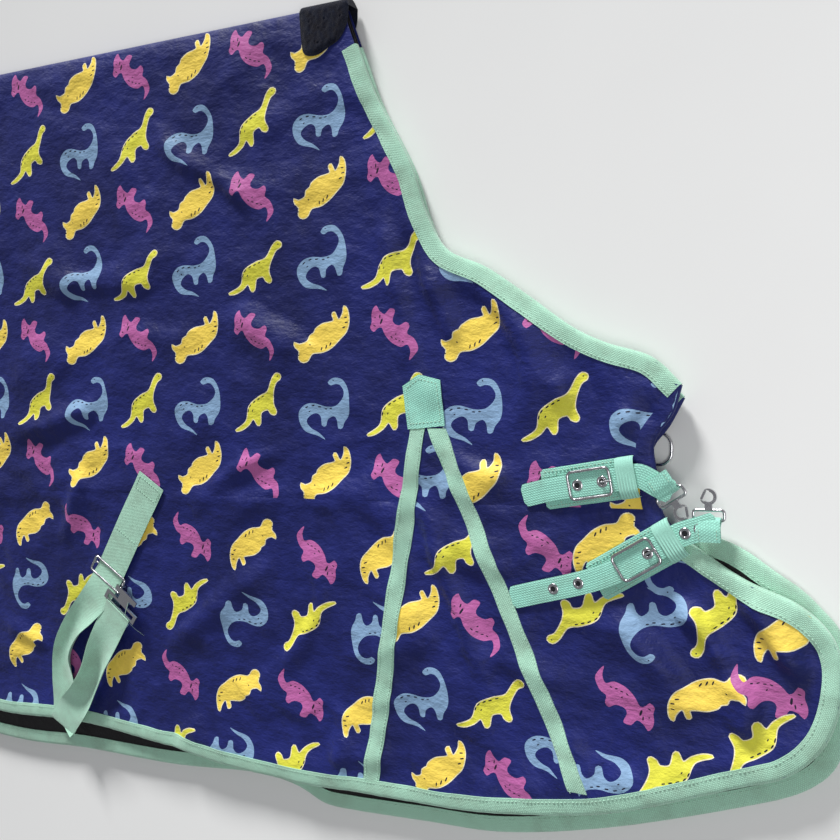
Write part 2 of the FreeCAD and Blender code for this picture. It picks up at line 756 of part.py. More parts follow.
def socket_plate():
    """Female fastener: webbing slot and the wide slot that the cross bar turns into."""
    back = -size("plate_bar") / 2
    half = size("plate_width") / 2
    start = size("plate_bar") * 1.5 + size("plate_slot")
    end = start + size("socket_length") - size("plate_bar")
    bar, neck = size("hook_bar") / 2 + 1.5, size("hook_neck") / 2 + 1.5
    waist = start + size("hook_bar_width") + 2.0
    socket = [(start, -bar), (waist, -bar), (waist, -neck), (end, -neck), (end, neck), (waist, neck),
              (waist, bar), (start, bar)]
    front = end + size("plate_bar")
    points = [(back, -half), (front, -half), (front, half), (back, half)]
    return stamped_plate(points, [webbing_slot(), socket])


def slider_frame(centre, turn, level):
    """Three-bar wire slider: outer bars over the webbing, middle bar under it."""
    reach = size("slider_width") / 2
    half = size("slider_length") / 2
    rim = wire_loop((-reach, -half), (reach, half), size("eye_corner"), size("eye_corner"))
    drop = -(size("webbing_thickness") + 2 * size("running_gap") + 2 * size("wire_radius"))
    parts = [rim, rod("wire_radius", 2 * half, (0, 0, drop), (0, 1, 0))]
    for side in (-half, half):
        parts.append(rod("wire_radius", -drop, (0, side, drop / 2), (0, 0, 1)))
        parts.append(rod("wire_radius", 2 * size("wire_radius"), (0, side, drop), (0, 0, 1)))
    return moved(fuse(*parts), place(centre[0], centre[1], level - drop / 2, turn))


def surcingle(name, shift, top):
    """Belly strap: sewn end, slider, hanging loop and T hook on the free end."""
    def at(point):
        return (point[0] + shift, point[1])

    thickness = size("webbing_thickness")
    gap = size("running_gap")
    level = top + 2 * gap + 2 * size("wire_radius")
    start, middle = at(SURCINGLE_TOP), at(SURCINGLE_SLIDER)
    bottom, end = at(SURCINGLE_BOTTOM), at(SURCINGLE_END)
    upper = level + thickness + eye_radius(flat_bar_hole()) + 2.0
    parts = [ribbon(start, middle, "surcingle_webbing", "webbing_thickness", level),
             ribbon(middle, bottom, "surcingle_webbing", "webbing_thickness", level)]
    disc = doc.addObject("Part::Cylinder", "Bend")
    bind(disc, "Radius", "surcingle_webbing/2")
    bind(disc, "Height", "webbing_thickness")
    disc.Placement = place(middle[0], middle[1], level)
    sewn = Vector(middle[0] - start[0], middle[1] - start[1], 0).normalize() * size("sewn_length")
    anchor = ribbon(start, (start[0] + sewn.x, start[1] + sewn.y), "surcingle_webbing",
                    level - top, top + gap)
    back = Vector(bottom[0] - end[0], bottom[1] - end[1], 0).normalize()
    foot = (bottom[0] - size("loop_fold") * back.x, bottom[1] - size("loop_fold") * back.y)
    fold = ribbon(foot, bottom, "surcingle_webbing", upper - level + thickness, level)
    webbing = fuse(*parts, disc, anchor, fold,
                   ribbon(bottom, end, "surcingle_webbing", "webbing_thickness", upper))
    heading = math.degrees(math.atan2(-back.y, -back.x))
    across = (-back.y, back.x, 0)
    pivot = (end[0], end[1], upper + thickness / 2)
    keep(webbing_eye(webbing, pivot, across, "surcingle_webbing", flat_bar_hole()), name + "_surcingle")
    turn = math.degrees(math.atan2(middle[1] - start[1], middle[0] - start[0]))
    keep(slider_frame(middle, turn, level + thickness / 2), name + "_slider")
    keep(moved(t_hook_plate(), place(*pivot, heading)), name + "_t_hook")


def surcingle_sockets():
    """Slotted plates on tabs under the left belly, where the T hooks fasten."""
    level = eye_radius(flat_bar_hole()) + 0.1
    tabs = []
    for name, (x, y) in SOCKETS.items():
        keep(moved(socket_plate(), place(x, y, level, -90)), name + "_socket_plate")
        tab = ribbon((x, y + size("plate_tab_length")), (x, y + 1), "surcingle_webbing",
                     "webbing_thickness", level - size("webbing_thickness") / 2)
        tabs.append(webbing_eye(tab, (x, y, level), (1, 0, 0), "surcingle_webbing", flat_bar_hole()))
    keep(group(*tabs), "socket_tabs")


# ---------------------------------------------------------------- assembly


def build():
    fill_sheet()
    gap = size("layer_gap")
    shell, fill, lining = size("shell_thickness"), size("fill_thickness"), size("lining_thickness")
    stack = shell + fill + lining + 2 * gap
    ground = size("ground_clearance")
    fold_level = ground + stack + gap + size("binding_thickness") + size("halves_gap") / 2
    top = 2 * fold_level - ground
    fold_side = -size("fold_gap")
    stretch = 1 + size("left_extra_depth") / size("depth")
    left = {"shell": ground, "fill": ground + shell + gap, "lining": ground + shell + fill + 2 * gap,
            "trim": ground - gap - size("trim_thickness")}
    right = {"shell": top - shell, "fill": top - shell - gap - fill, "lining": top - stack,
             "trim": top + gap}
    half_rug("left", stretch, 0.0, left)
    half_rug("right", 1.0, fold_side, right)
    fleece_x = size("fleece_ahead") - size("fleece_length")
    keep(box("fleece_length", "fleece_width", "ground_clearance-layer_gap",
             (fleece_x, -size("fleece_width"), 0)), "left_wither_fleece")
    keep(box("fleece_length", "fleece_width", "fleece_thickness",
             (fleece_x, fold_side - size("fleece_width"), top + gap)), "right_wither_fleece")
    chest_strap(UPPER_STRAP, top)
    chest_strap(LOWER_STRAP, top)
    chest_rings()
    surcingle("front", 0.0, top)
    surcingle("rear", -size("surcingle_spacing"), top)
    surcingle_sockets()
    doc.recompute()


def check_and_write():
    for item in doc.Objects:
        if "Invalid" in item.State or "Error" in item.State:
            raise RuntimeError("%s (%s) failed: %s" % (item.Name, item.Label, item.State))
    os.makedirs("parts", exist_ok=True)
    for piece in pieces:
        if piece.Shape.isNull() or not piece.Shape.isValid() or not piece.Shape.Solids:
            raise RuntimeError("%s has no valid solid" % piece.Label)
    for piece in pieces:
        piece.Shape.exportStep("parts/%s.step" % piece.Label)


build()
check_and_write()
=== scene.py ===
import math

import bmesh
import bpy
import numpy as np
from mathutils import Matrix, Vector
from mathutils.geometry import delaunay_2d_cdt


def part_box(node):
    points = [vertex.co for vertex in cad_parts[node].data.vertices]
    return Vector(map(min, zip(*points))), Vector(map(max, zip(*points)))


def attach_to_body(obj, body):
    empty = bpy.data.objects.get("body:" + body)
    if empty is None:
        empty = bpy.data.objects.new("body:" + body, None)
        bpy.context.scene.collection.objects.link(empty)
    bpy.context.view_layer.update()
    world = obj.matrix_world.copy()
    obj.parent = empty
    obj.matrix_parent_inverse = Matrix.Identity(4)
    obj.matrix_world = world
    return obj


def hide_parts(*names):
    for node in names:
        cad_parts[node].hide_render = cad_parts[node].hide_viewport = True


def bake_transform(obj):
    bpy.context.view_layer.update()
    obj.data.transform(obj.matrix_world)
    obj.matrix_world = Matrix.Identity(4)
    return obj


# A horse's turnout rug folded in half along its back. Lengths in this file are millimetres in the
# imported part's frame: +X to the neck, +Y to the fold, +Z up. MM turns them into metres.
MM = 0.001

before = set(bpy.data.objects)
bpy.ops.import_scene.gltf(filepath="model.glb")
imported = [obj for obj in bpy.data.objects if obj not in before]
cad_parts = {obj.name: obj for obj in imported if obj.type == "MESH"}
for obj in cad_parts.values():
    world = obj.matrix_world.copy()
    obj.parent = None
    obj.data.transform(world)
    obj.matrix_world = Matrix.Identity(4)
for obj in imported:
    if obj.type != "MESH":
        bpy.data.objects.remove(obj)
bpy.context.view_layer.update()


def cad(node):
    """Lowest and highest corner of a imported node, in millimetres."""
    low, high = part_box(node)
    return np.array(low) / MM, np.array(high) / MM


TOP = cad("right_upper_panel")[1][2]
BOTTOM = cad("left_upper_panel")[0][2]
TAIL = cad("right_upper_panel")[0][0]
SHELL_THICK = 0.9
LINING_LOW = cad("right_lining")[0][2]
LEFT_LINING_HIGH = cad("left_lining")[1][2]
FOLD_ARC = 27.0
TRIM_TOP = cad("right_gusset_trims")[1][2] - TOP
STRETCH = cad("left_lining")[0][1] / cad("right_lining")[0][1]

# The tail corner's radius and the hem's depth there.
TAIL_RADIUS = 150
HEM_END = -901

NECK = [(0, 0), (19, -50), (42, -107), (82, -180), (101, -235), (126, -277), (173, -299), (221, -331),
        (268, -364), (305, -381), (350, -395), (379, -421)]
CHEST = [(379, -421), (371, -448), (358, -466), (351, -482), (354, -506), (357, -538), (370, -563),
         (394, -580), (440, -608), (489, -627), (519, -655), (528, -695), (516, -750), (484, -788),
         (440, -808), (307, -862), (186, -888), (120, -895), (60, -899), (0, -901)]
HEM = [(0, -901), (-74, -906), (-186, -906), (-292, -897), (-428, -892), (-512, -896), (-613, -903),
       (-760, -899), (-900, -902), (-1060, -899), (TAIL + TAIL_RADIUS, HEM_END)]
TAIL_CORNER = [(TAIL + TAIL_RADIUS - TAIL_RADIUS * math.sin(a),
                HEM_END + TAIL_RADIUS - TAIL_RADIUS * math.cos(a))
               for a in np.radians((0, 22.5, 45, 67.5, 90))]
LEFT_CHEST = [(379, -434), (364, -462), (350, -480), (345, -500), (349, -530), (364, -560), (390, -571),
              (416, -573), (440, -583), (464, -599), (488, -614), (506, -630), (526, -655), (531, -700),
              (527, -765), (500, -802), (440, -832), (307, -882), (186, -914), (87, -923), (0, -930)]
LEFT_HEM = [(0, -930), (-49, -931), (-86, -918), (-130, -912), (-177, -914), (-293, -927), (-451, -934),
            (-615, -945), (-900, -931), (TAIL + TAIL_RADIUS, -929)]
APEX = np.array((96.5, -431.0))
REAR_FOOT = np.array((20.0, -901.0))
FRONT_FOOT = np.array((300.0, -901.0))
PATCH = [(93, -411), (118, -417), (123, -467), (77, -472), (71, -424)]

# Chest straps, in plan: buckle centre, direction, loose tip, eye of the snap hook and its heading.
STRAPS = {
    "upper": {"buckle": (291.0, -520.5), "angle": 11.0, "tip": (216.0, -538.5), "eye": (369.0, -526.0),
              "eye_z": 26.4, "heading": -55.0, "holes": (-13.5, 13.0)},
    "lower": {"buckle": (339.0, -594.0), "angle": 33.0, "tip": (202.0, -648.5), "eye": (408.0, -551.0),
              "eye_z": 25.9, "heading": 92.0, "holes": (-98.0, -69.0, 13.0, 56.0, 71.0)},
}
SURCINGLE_SHIFT = {"front": 0.0, "rear": -440.0}
SURCINGLE_TOP = np.array((-302.5, -548.5))
SLIDER = np.array((-380.0, -678.0))
LOOP_BOTTOM = np.array((-474.0, -892.0))
HOOK = np.array((-358.0, -722.0))
RETURN_RUN = (HOOK - LOOP_BOTTOM) / np.linalg.norm(HOOK - LOOP_BOTTOM)
# Hanging loop of the front surcingle: place, rise above the rug, direction of the webbing's width in
# degrees, tilt and cupping in radians. The leg hangs to the bottom fold, the return climbs to the hook.
SURCINGLE_LEG = (
    (-396, -704, 7.0, -32, 0.0, 0.15), (-416, -727, 5.4, -38, 0.10, 0.55), (-442, -756, 3.2, -38, 0.22, 1.05),
    (-464, -792, 1.8, -22, 0.20, 1.05), (-471, -832, 1.2, -6, 0.06, 0.45), (-474, -870, 0.9, -10, 0.0, 0.0),
    (-477, -897, 0.9, -22, 0.0, 0.0))
SURCINGLE_RETURN = (
    (-479, -902, 2.4, -24, 0.0, 0.0), (-476, -897, 4.2, -26, 0.0, 0.0), (-463, -882, 4.9, -30, -0.02, -0.05),
    (-438, -856, 4.6, -30, -0.14, -0.80), (-418, -828, 4.6, -28, -0.22, -1.30),
    (-402, -800, 5.2, -28, -0.20, -1.30),
    (-386, -768, 7.4, -31, -0.08, -0.55))

# Folds in the cloth: height (negative for a valley), half width and the line each follows.
RIDGES = [
    (-4, 22, [(-578, -344), (-458, -320), (-336, -318), (-257, -320), (-182, -311), (-83, -336),
        (0, -371), (47, -428), (70, -448)]),
    (3.5, 20, [(-495, -299), (-382, -296), (-256, -301)]),
    (4, 26, [(-183, -335), (-113, -361), (-65, -393)]),
    (-3, 16, [(-315, -107), (-278, -159), (-209, -188), (-163, -214), (-129, -238)]),
    (3, 16, [(-298, -97), (-239, -144), (-177, -178), (-123, -218)]),
    (-3, 16, [(-432, -60), (-371, -63), (-326, -89), (-283, -132)]),
    (-3, 18, [(-107, -165), (-68, -135), (-22, -125), (5, -132)]),
    (-3, 20, [(-546, -260), (-517, -225), (-490, -200), (-461, -148)]),
    (-3.5, 15, [(-266, -554), (-178, -507), (-87, -488), (-2, -474), (68, -468)]),
    (3, 13, [(-222, -560), (-137, -514), (-49, -496), (59, -480)]),
    (-3.5, 14, [(-180, -557), (-98, -521), (-21, -508), (68, -489)]),
    (-3, 16, [(-590, -532), (-507, -508), (-416, -480), (-343, -471)]),
    (3, 18, [(-574, -503), (-466, -481), (-378, -454)]),
    (-2.5, 14, [(21, -207), (31, -260), (41, -319), (61, -394)]),
    (3, 14, [(43, -216), (54, -276), (70, -343), (82, -409)]),
    (-3.5, 13, [(72, -251), (86, -307), (103, -365), (111, -409)]),
    (3.5, 16, [(104, -293), (124, -344), (144, -380)]),
    (-4, 20, [(132, -323), (168, -352), (190, -395), (186, -430), (167, -455)]),
    (3.5, 18, [(152, -303), (206, -353), (228, -409), (220, -451)]),
    (-3, 16, [(271, -409), (285, -450), (257, -481), (220, -486)]),
    (3, 14, [(250, -409), (264, -443)]),
    (3.5, 13, [(320, -442), (334, -469), (317, -493)]),
    (-3.5, 14, [(357, -435), (340, -462), (327, -495)]),
    (-2.5, 12, [(142, -496), (182, -501), (220, -510)]),
    (2.5, 12, [(142, -510), (189, -522), (227, -535)]),
    (-3, 14, [(-121, -628), (-82, -649), (-71, -680), (-93, -723), (-135, -762)]),
    (3, 14, [(-52, -638), (-44, -677), (-69, -728), (-105, -774)]),
    (-3, 16, [(-308, -750), (-238, -689), (-172, -632), (-99, -585)]),
    (3, 16, [(-286, -769), (-195, -697), (-101, -634)]),
    (-3, 14, [(-210, -824), (-198, -788), (-145, -772)]),
    (-3, 12, [(-289, -850), (-277, -879), (-286, -903)]),
    (2.5, 12, [(-244, -847), (-234, -889)]),
    (-3, 14, [(-58, -874), (-48, -839), (-28, -804)]),
    (3, 14, [(-25, -876), (-10, -833)]),
    (-3, 13, [(76, -543), (87, -602), (108, -661), (140, -732)]),
    (3, 13, [(101, -557), (120, -629), (148, -693), (175, -771)]),
    (-3, 13, [(114, -811), (155, -827), (179, -852)]),
    (-3.5, 16, [(184, -726), (218, -779), (241, -840)]),
    (-4, 18, [(249, -631), (299, -633), (327, -637), (374, -672), (407, -721)]),
    (4, 18, [(271, -650), (320, -665), (361, -701), (381, -738)]),
    (-4, 16, [(341, -622), (374, -612), (406, -625), (431, -652)]),
    (5, 16, [(374, -635), (406, -661), (422, -699)]),
    (-6, 18, [(422, -624), (431, -658), (459, -693), (481, -716), (457, -759)]),
    (5, 15, [(443, -612), (462, -648), (486, -683), (501, -700)]),
    (4, 15, [(429, -698), (445, -735), (432, -763)]),
    (-4, 14, [(500, -647), (507, -680), (495, -720), (469, -750)]),
    (-3, 14, [(278, -755), (320, -797), (355, -804)]),
    (-3, 14, [(368, -795), (401, -768), (432, -766)]),
    (-3, 14, [(-577, -783), (-524, -810), (-485, -829)]),
    (3, 14, [(-604, -767), (-536, -788), (-484, -805)]),
    (-3, 14, [(-611, -877), (-552, -829), (-484, -805)]),
    (-3, 12, [(-294, -686), (-325, -734), (-356, -765)]),
    (2.5, 12, [(-419, -534), (-447, -591), (-475, -648)]),
]


# ---------------------------------------------------------------- lines and fields


def smooth_line(points, spacing, closed=False):
    """Points along a smooth curve through the given points."""
    p = np.asarray(points, float)
    if closed:
        ext = np.vstack([p[-1], p, p[0], p[1]])
    else:
        ext = np.vstack([2 * p[0] - p[1], p, 2 * p[-1] - p[-2]])
    out = []
    for i in range(len(ext) - 3):
        a, b, c, d = ext[i:i + 4]
        count = max(1, int(math.ceil(np.linalg.norm(c - b) / spacing)))
        t = np.linspace(0, 1, count, endpoint=False)[:, None]
        out.append(0.5 * (2 * b + (c - a) * t + (2 * a - 5 * b + 4 * c - d) * t ** 2
                          + (3 * b - a - 3 * c + d) * t ** 3))
    if not closed:
        out.append(p[-1:])
    return np.vstack(out)


def straight(points, spacing):
    """Points along straight runs between the given points."""
    p = np.asarray(points, float)
    out = []
    for a, b in zip(p, p[1:]):
        count = max(1, int(math.ceil(np.linalg.norm(b - a) / spacing)))
        out.append(a + (b - a) * np.linspace(0, 1, count, endpoint=False)[:, None])
    out.append(p[-1:])
    return np.vstack(out)


def distance(x, y, line):
    """Shortest distance from each point to a run of straight segments, and how far along it lies."""
    best = np.full(x.shape, 1e9)
    where = np.zeros(x.shape)
    line = np.asarray(line, float)
    lengths = np.hypot(*(line[1:] - line[:-1]).T)
    total = max(lengths.sum(), 1e-9)
    done = 0.0
    for a, b, length in zip(line, line[1:], lengths):
        dx, dy = b - a
        t = np.clip(((x - a[0]) * dx + (y - a[1]) * dy) / max(length ** 2, 1e-9), 0, 1)
        d = np.hypot(x - a[0] - t * dx, y - a[1] - t * dy)
        closer = d < best
        best = np.where(closer, d, best)
        where = np.where(closer, (done + t * length) / total, where)
        done += length
    return best, where


def ease(t):
    t = np.clip(t, 0, 1)
    return t * t * (3 - 2 * t)


def inside(x, y, loop):
    """Whether each point lies in a closed loop."""
    order = np.argsort(y, kind="stable")
    xs, ys = x[order], y[order]
    result = np.zeros(x.shape, bool)
    starts = np.asarray(loop, float)
    ends = np.roll(starts, -1, axis=0)
    first = np.searchsorted(ys, np.minimum(starts[:, 1], ends[:, 1]), side="left")
    last = np.searchsorted(ys, np.maximum(starts[:, 1], ends[:, 1]), side="left")
    for (ax, ay), (bx, by), i, j in zip(starts, ends, first, last):
        if i < j:
            result[i:j] ^= xs[i:j] < ax + (ys[i:j] - ay) * (bx - ax) / (by - ay)
    back = np.empty_like(result)
    back[order] = result
    return back


def seam_y(x):
    """Depth of the seam between the upper and lower panels."""
    return -556.0 + 0.033 * x


def gusset_x(foot, y):
    return APEX[0] + (foot[0] - APEX[0]) * (y - APEX[1]) / (foot[1] - APEX[1])


def seam_corner(foot):
    """Where a gusset seam crosses the panel seam."""
    y = seam_y(APEX[0])
    for _ in range(6):
        y = seam_y(gusset_x(foot, y))
    return np.array((gusset_x(foot, y), y))


def rug_edge(neck, chest, hem, stretch):
    """Edge of a half from the withers round the chest, hem and tail to the fold's tail end."""
    corner = [(x, y * stretch) for x, y in TAIL_CORNER]
    neck = [(x, y * stretch) for x, y in neck]
    parts = [smooth_line(neck, 7), smooth_line(chest, 7), smooth_line(hem, 9), smooth_line(corner, 9),
             straight([corner[-1], (TAIL, -375), (TAIL, 0)], 9)]
    return np.vstack([part[:-1] for part in parts[:-1]] + [parts[-1]])


RIGHT_EDGE = rug_edge(NECK, CHEST, HEM, 1.0)
LEFT_EDGE = rug_edge(NECK, LEFT_CHEST, LEFT_HEM, STRETCH)
STEP = 4.0
FIELD_X = np.arange(TAIL - 24, 564, STEP)
FIELD_Y = np.arange(-960, 24, STEP)
GX, GY = np.meshgrid(FIELD_X, FIELD_Y)


def sample(field, x, y):
    """Value of a field of the grid at any point."""
    x, y = np.asarray(x, float), np.asarray(y, float)
    fx = np.clip((x - FIELD_X[0]) / STEP, 0, len(FIELD_X) - 2.001)
    fy = np.clip((y - FIELD_Y[0]) / STEP, 0, len(FIELD_Y) - 2.001)
    ix, iy = fx.astype(int), fy.astype(int)
    tx, ty = fx - ix, fy - iy
    return ((field[iy, ix] * (1 - tx) + field[iy, ix + 1] * tx) * (1 - ty)
            + (field[iy + 1, ix] * (1 - tx) + field[iy + 1, ix + 1] * tx) * ty)


FOLD_STRENGTH = 2.5
# Ripples: spacing, slope, phase and height of each family.
CREASES = ((112, 0.20, 0.3, 3.6), (74, -0.24, 1.7, 2.6), (57, 0.55, 2.9, 1.8), (41, -0.6, 0.9, 1.1))
LIFT = 1.8
DEEPEST = 3.3


def designed_folds():
    """Heights of the folds that the cloth keeps from being handled and worn."""
    height = np.zeros_like(GX)
    for amount, width, line in RIDGES:
        line = smooth_line(line, 20)
        gap, along = distance(GX, GY, line)
        fade = ease(along / 0.25) * ease((1 - along) / 0.25)
        height += FOLD_STRENGTH * amount * np.exp(-(gap / width) ** 2) * (0.25 + 0.75 * fade)
    for k, (period, turn, phase, amount) in enumerate((
            (210, 0.35, 0.4, 1.5), (130, -0.5, 1.9, 1.1), (88, 1.2, 0.7, 0.8), (61, 0.2, 2.6, 0.5),
            (43, 1.45, 1.1, 0.34))):
        run = GX * math.cos(turn) + GY * math.sin(turn)
        side = GY * math.cos(turn) - GX * math.sin(turn)
        height += amount * np.sin(run * 2 * math.pi / period + phase
                                  + 1.3 * np.sin(side * 2 * math.pi / (period * 1.7) + k))
    height += creases()
    rear = ease((-560 - GX) / 160)
    for k in range(9):
        x0 = -640 - 82 * k
        lean = 0.30 * math.sin(2.1 * k)
        line = [(x0 + 40 * math.sin(k), -120 - 70 * (k % 3)), (x0 + 320 * lean, -420),
                (x0 + 420 * lean, -760)]
        gap, along = distance(GX, GY, smooth_line(line, 25))
        height += (rear * (3.4 if k % 2 else -3.0) * np.exp(-(gap / 24) ** 2)
                   * ease(along / 0.3) * ease((1 - along) / 0.3))
    return height


def creases():
    """Patches of long sharp-crested ripples, roughly level but wandering."""
    wander = 24 * np.sin(GX / 97 + 1.3 * np.sin(GY / 71)) + 15 * np.sin(GX / 53 - GY / 88)
    height = np.zeros_like(GX)
    for period, lean, phase, amount in CREASES:
        across = GY + lean * GX + wander
        patch = 0.5 + 0.5 * np.sin(GX / (period * 1.9) + phase) * np.sin(GY / (period * 1.3) + 2 * phase)
        crest = 1 - np.abs(np.sin(math.pi * across / period + phase))
        height += amount * patch ** 1.5 * crest ** 1.4
    return height


def drape(height):
    """Lets a slightly over-long sheet of cloth settle over the folds, and returns what it added."""
    coarse = 14.0
    xs = np.arange(TAIL, 542, coarse)
    ys = np.arange(-915, 1, coarse)
    nx, ny = len(xs), len(ys)
    px, py = np.meshgrid(xs, ys)
    start = sample(height, px, py)
    verts = np.column_stack([px.ravel(), py.ravel(), start.ravel()]) * MM
    faces = [(j * nx + i, j * nx + i + 1, (j + 1) * nx + i + 1, (j + 1) * nx + i)
             for j in range(ny - 1) for i in range(nx - 1)]
    mesh = bpy.data.meshes.new("drape")
    mesh.from_pydata(verts.tolist(), [], faces)
    sheet = bpy.data.objects.new("drape", mesh)
    bpy.context.collection.objects.link(sheet)
    edge_gap, _ = distance(px.ravel(), py.ravel(), RIGHT_EDGE)
    outside = ~inside(px.ravel(), py.ravel(), RIGHT_EDGE)
    sewn = [np.abs(py.ravel() - seam_y(px.ravel())) < 8]
    for foot in (REAR_FOOT, FRONT_FOOT):
        sewn.append(distance(px.ravel(), py.ravel(), [APEX, foot])[0] < 9)
    held = outside | (edge_gap < 22) | np.any(sewn, axis=0) | (py.ravel() > -16)
    pins = sheet.vertex_groups.new(name="pins")
    pins.add(np.nonzero(held)[0].tolist(), 1.0, "REPLACE")
    cloth = sheet.modifiers.new("Cloth", "CLOTH")
    settings = cloth.settings
    settings.quality = 6
    settings.mass = 0.25
    settings.tension_stiffness = settings.compression_stiffness = 12
    settings.shear_stiffness = 4
    settings.bending_stiffness = 0.25
    settings.vertex_group_mass = "pins"
    settings.shrink_min = settings.shrink_max = -0.022
    settings.effector_weights.gravity = 0.12
    cloth.collision_settings.use_collision = False
    cloth.collision_settings.use_self_collision = False
    cloth.point_cache.frame_start = 1
    cloth.point_cache.frame_end = 24
    scene = bpy.context.scene
    for number in range(1, 25):
        scene.frame_set(number)
    settled = sheet.evaluated_get(bpy.context.evaluated_depsgraph_get())
    after = np.empty(len(verts) * 3)
    settled.to_mesh().vertices.foreach_get("co", after)
    after = after.reshape(-1, 3)[:, 2] / MM
    scene.frame_set(1)
    bpy.data.objects.remove(sheet)
    bpy.data.meshes.remove(mesh)
    change = np.clip((after - start.ravel()).reshape(ny, nx), -5.0, 5.0)
    fx = np.clip((FIELD_X - xs[0]) / coarse, 0, nx - 1.001)
    fy = np.clip((FIELD_Y - ys[0]) / coarse, 0, ny - 1.001)
    ix, iy = fx.astype(int), fy.astype(int)
    tx, ty = ease(fx - ix)[None, :], ease(fy - iy)[:, None]
    rows, next_rows = change[iy], change[iy + 1]
    blended = rows * (1 - ty) + next_rows * ty
    finer = blended[:, ix] * (1 - tx) + blended[:, ix + 1] * tx
    for _ in range(3):
        padded = np.pad(finer, 1, mode="edge")
        finer = (padded[:-2, 1:-1] + padded[2:, 1:-1] + padded[1:-1, :-2] + padded[1:-1, 2:] + 2 * finer) / 6
    return finer


def on_strap(strap, along):
    """Plan point on a chest strap's centre line, counted from its buckle."""
    turn = math.radians(strap["angle"])
    return np.array((strap["buckle"][0] + along * math.cos(turn),
                     strap["buckle"][1] + along * math.sin(turn)))


FLEECE_BOX = cad("right_wither_fleece")
FLEECE_LINE = [(FLEECE_BOX[0][0] + 12, -20), (FLEECE_BOX[1][0] - 8, -20)]


def relief_field():
    """Height of the outer cloth above its nominal level, quiet near straps, edges and the fold."""
    height = designed_folds()
    height = height + drape(height)
    height = height + LIFT
    quiet = np.ones_like(height)
    lines = [([on_strap(s, -60), s["buckle"], on_strap(s, 60)], 30) for s in STRAPS.values()]
    lines += [([s["tip"], on_strap(s, -40)], 14) for s in STRAPS.values()]
    for shift in SURCINGLE_SHIFT.values():
        move = np.array((shift, 0))
        lines.append(([SURCINGLE_TOP + move, SLIDER + move, LOOP_BOTTOM + move, HOOK + move], 30))
    lines.append((FLEECE_LINE, 30))
    low = np.minimum(height, 0) * 0.35
    for line, reach in lines:
        gap, _ = distance(GX, GY, line)
        quiet = np.minimum(quiet, ease((gap - reach) / 26))
    height = low * (1 - quiet) + height * quiet
    gap, _ = distance(GX, GY, RIGHT_EDGE)
    height = height * (0.4 + 0.6 * ease(gap / 40))
    height = height * ease(-GY / 34)
    height = np.clip(height, -DEEPEST, 12.0)
    return height - 4.5 * (1 - ease((-GY + 4) / 30))


def sunk(field):
    """Lowest value of a field within a few grid steps."""
    reach = 2
    padded = np.pad(field, reach, mode="edge")
    rows, columns = field.shape
    return np.min([padded[j:j + rows, i:i + columns]
                   for j in range(2 * reach + 1) for i in range(2 * reach + 1)], axis=0)


RELIEF = relief_field()
RELIEF_LOW = sunk(RELIEF)


# ---------------------------------------------------------------- materials


def shader(name):
    """Empty material with a Principled shader."""
    material = bpy.data.materials.new(name)
    material.use_nodes = True
    tree = material.node_tree
    tree.nodes.clear()
    output = tree.nodes.new("ShaderNodeOutputMaterial")
    surface = tree.nodes.new("ShaderNodeBsdfPrincipled")
    tree.links.new(surface.outputs[0], output.inputs[0])
    return material, tree, surface


def node(tree, kind, inputs=None, **settings):
    made = tree.nodes.new("ShaderNode" + kind)
    for key, setting in settings.items():
        setattr(made, key, setting)
    for key, given in (inputs or {}).items():
        if isinstance(given, bpy.types.NodeSocket):
            tree.links.new(given, made.inputs[key])
        else:
            made.inputs[key].default_value = given
    return made


def calc(tree, operation, first, second=0.5):
    return node(tree, "Math", {0: first, 1: second}, operation=operation).outputs[0]


def noise(tree, vector, scale, detail=3.0, rough=0.55):
    return node(tree, "TexNoise", {"Vector": vector, "Scale": scale, "Detail": detail,
                                   "Roughness": rough}).outputs[0]


def stretch_range(tree, given, low, high, new_low=0.0, new_high=1.0):
    return node(tree, "MapRange", {"Value": given, "From Min": low, "From Max": high,
                                   "To Min": new_low, "To Max": new_high}).outputs[0]


def mix(tree, factor, first, second):
    made = tree.nodes.new("ShaderNodeMix")
    made.data_type = "RGBA"
    for slot_number, given in ((0, factor), (6, first), (7, second)):
        if isinstance(given, bpy.types.NodeSocket):
            tree.links.new(given, made.inputs[slot_number])
        else:
            made.inputs[slot_number].default_value = given
    return made.outputs[2]


def linear(red, green, blue, scale=1.0):
    """Colour from its everyday 0-255 values."""
    return tuple(min(1.0, scale * ((c / 255 + 0.055) / 1.055) ** 2.4 if c > 10 else c / 255 / 12.92)
                 for c in (red, green, blue)) + (1.0,)


def relief_node(tree, height, depth, strength=1.0, under=None):
    inputs = {"Height": height, "Distance": depth, "Strength": strength}
    if under is not None:
        inputs["Normal"] = under
    return node(tree, "Bump", inputs).outputs[0]


def waves(tree, value, period):
    """Smooth 0..1 ribs of a given period in metres."""
    turned = calc(tree, "MULTIPLY", value, 2 * math.pi / period)
    return stretch_range(tree, calc(tree, "SINE", turned), -1.0, 1.0)


# Thread spacing of the shell in metres.
SHELL_WEAVE = 0.0011


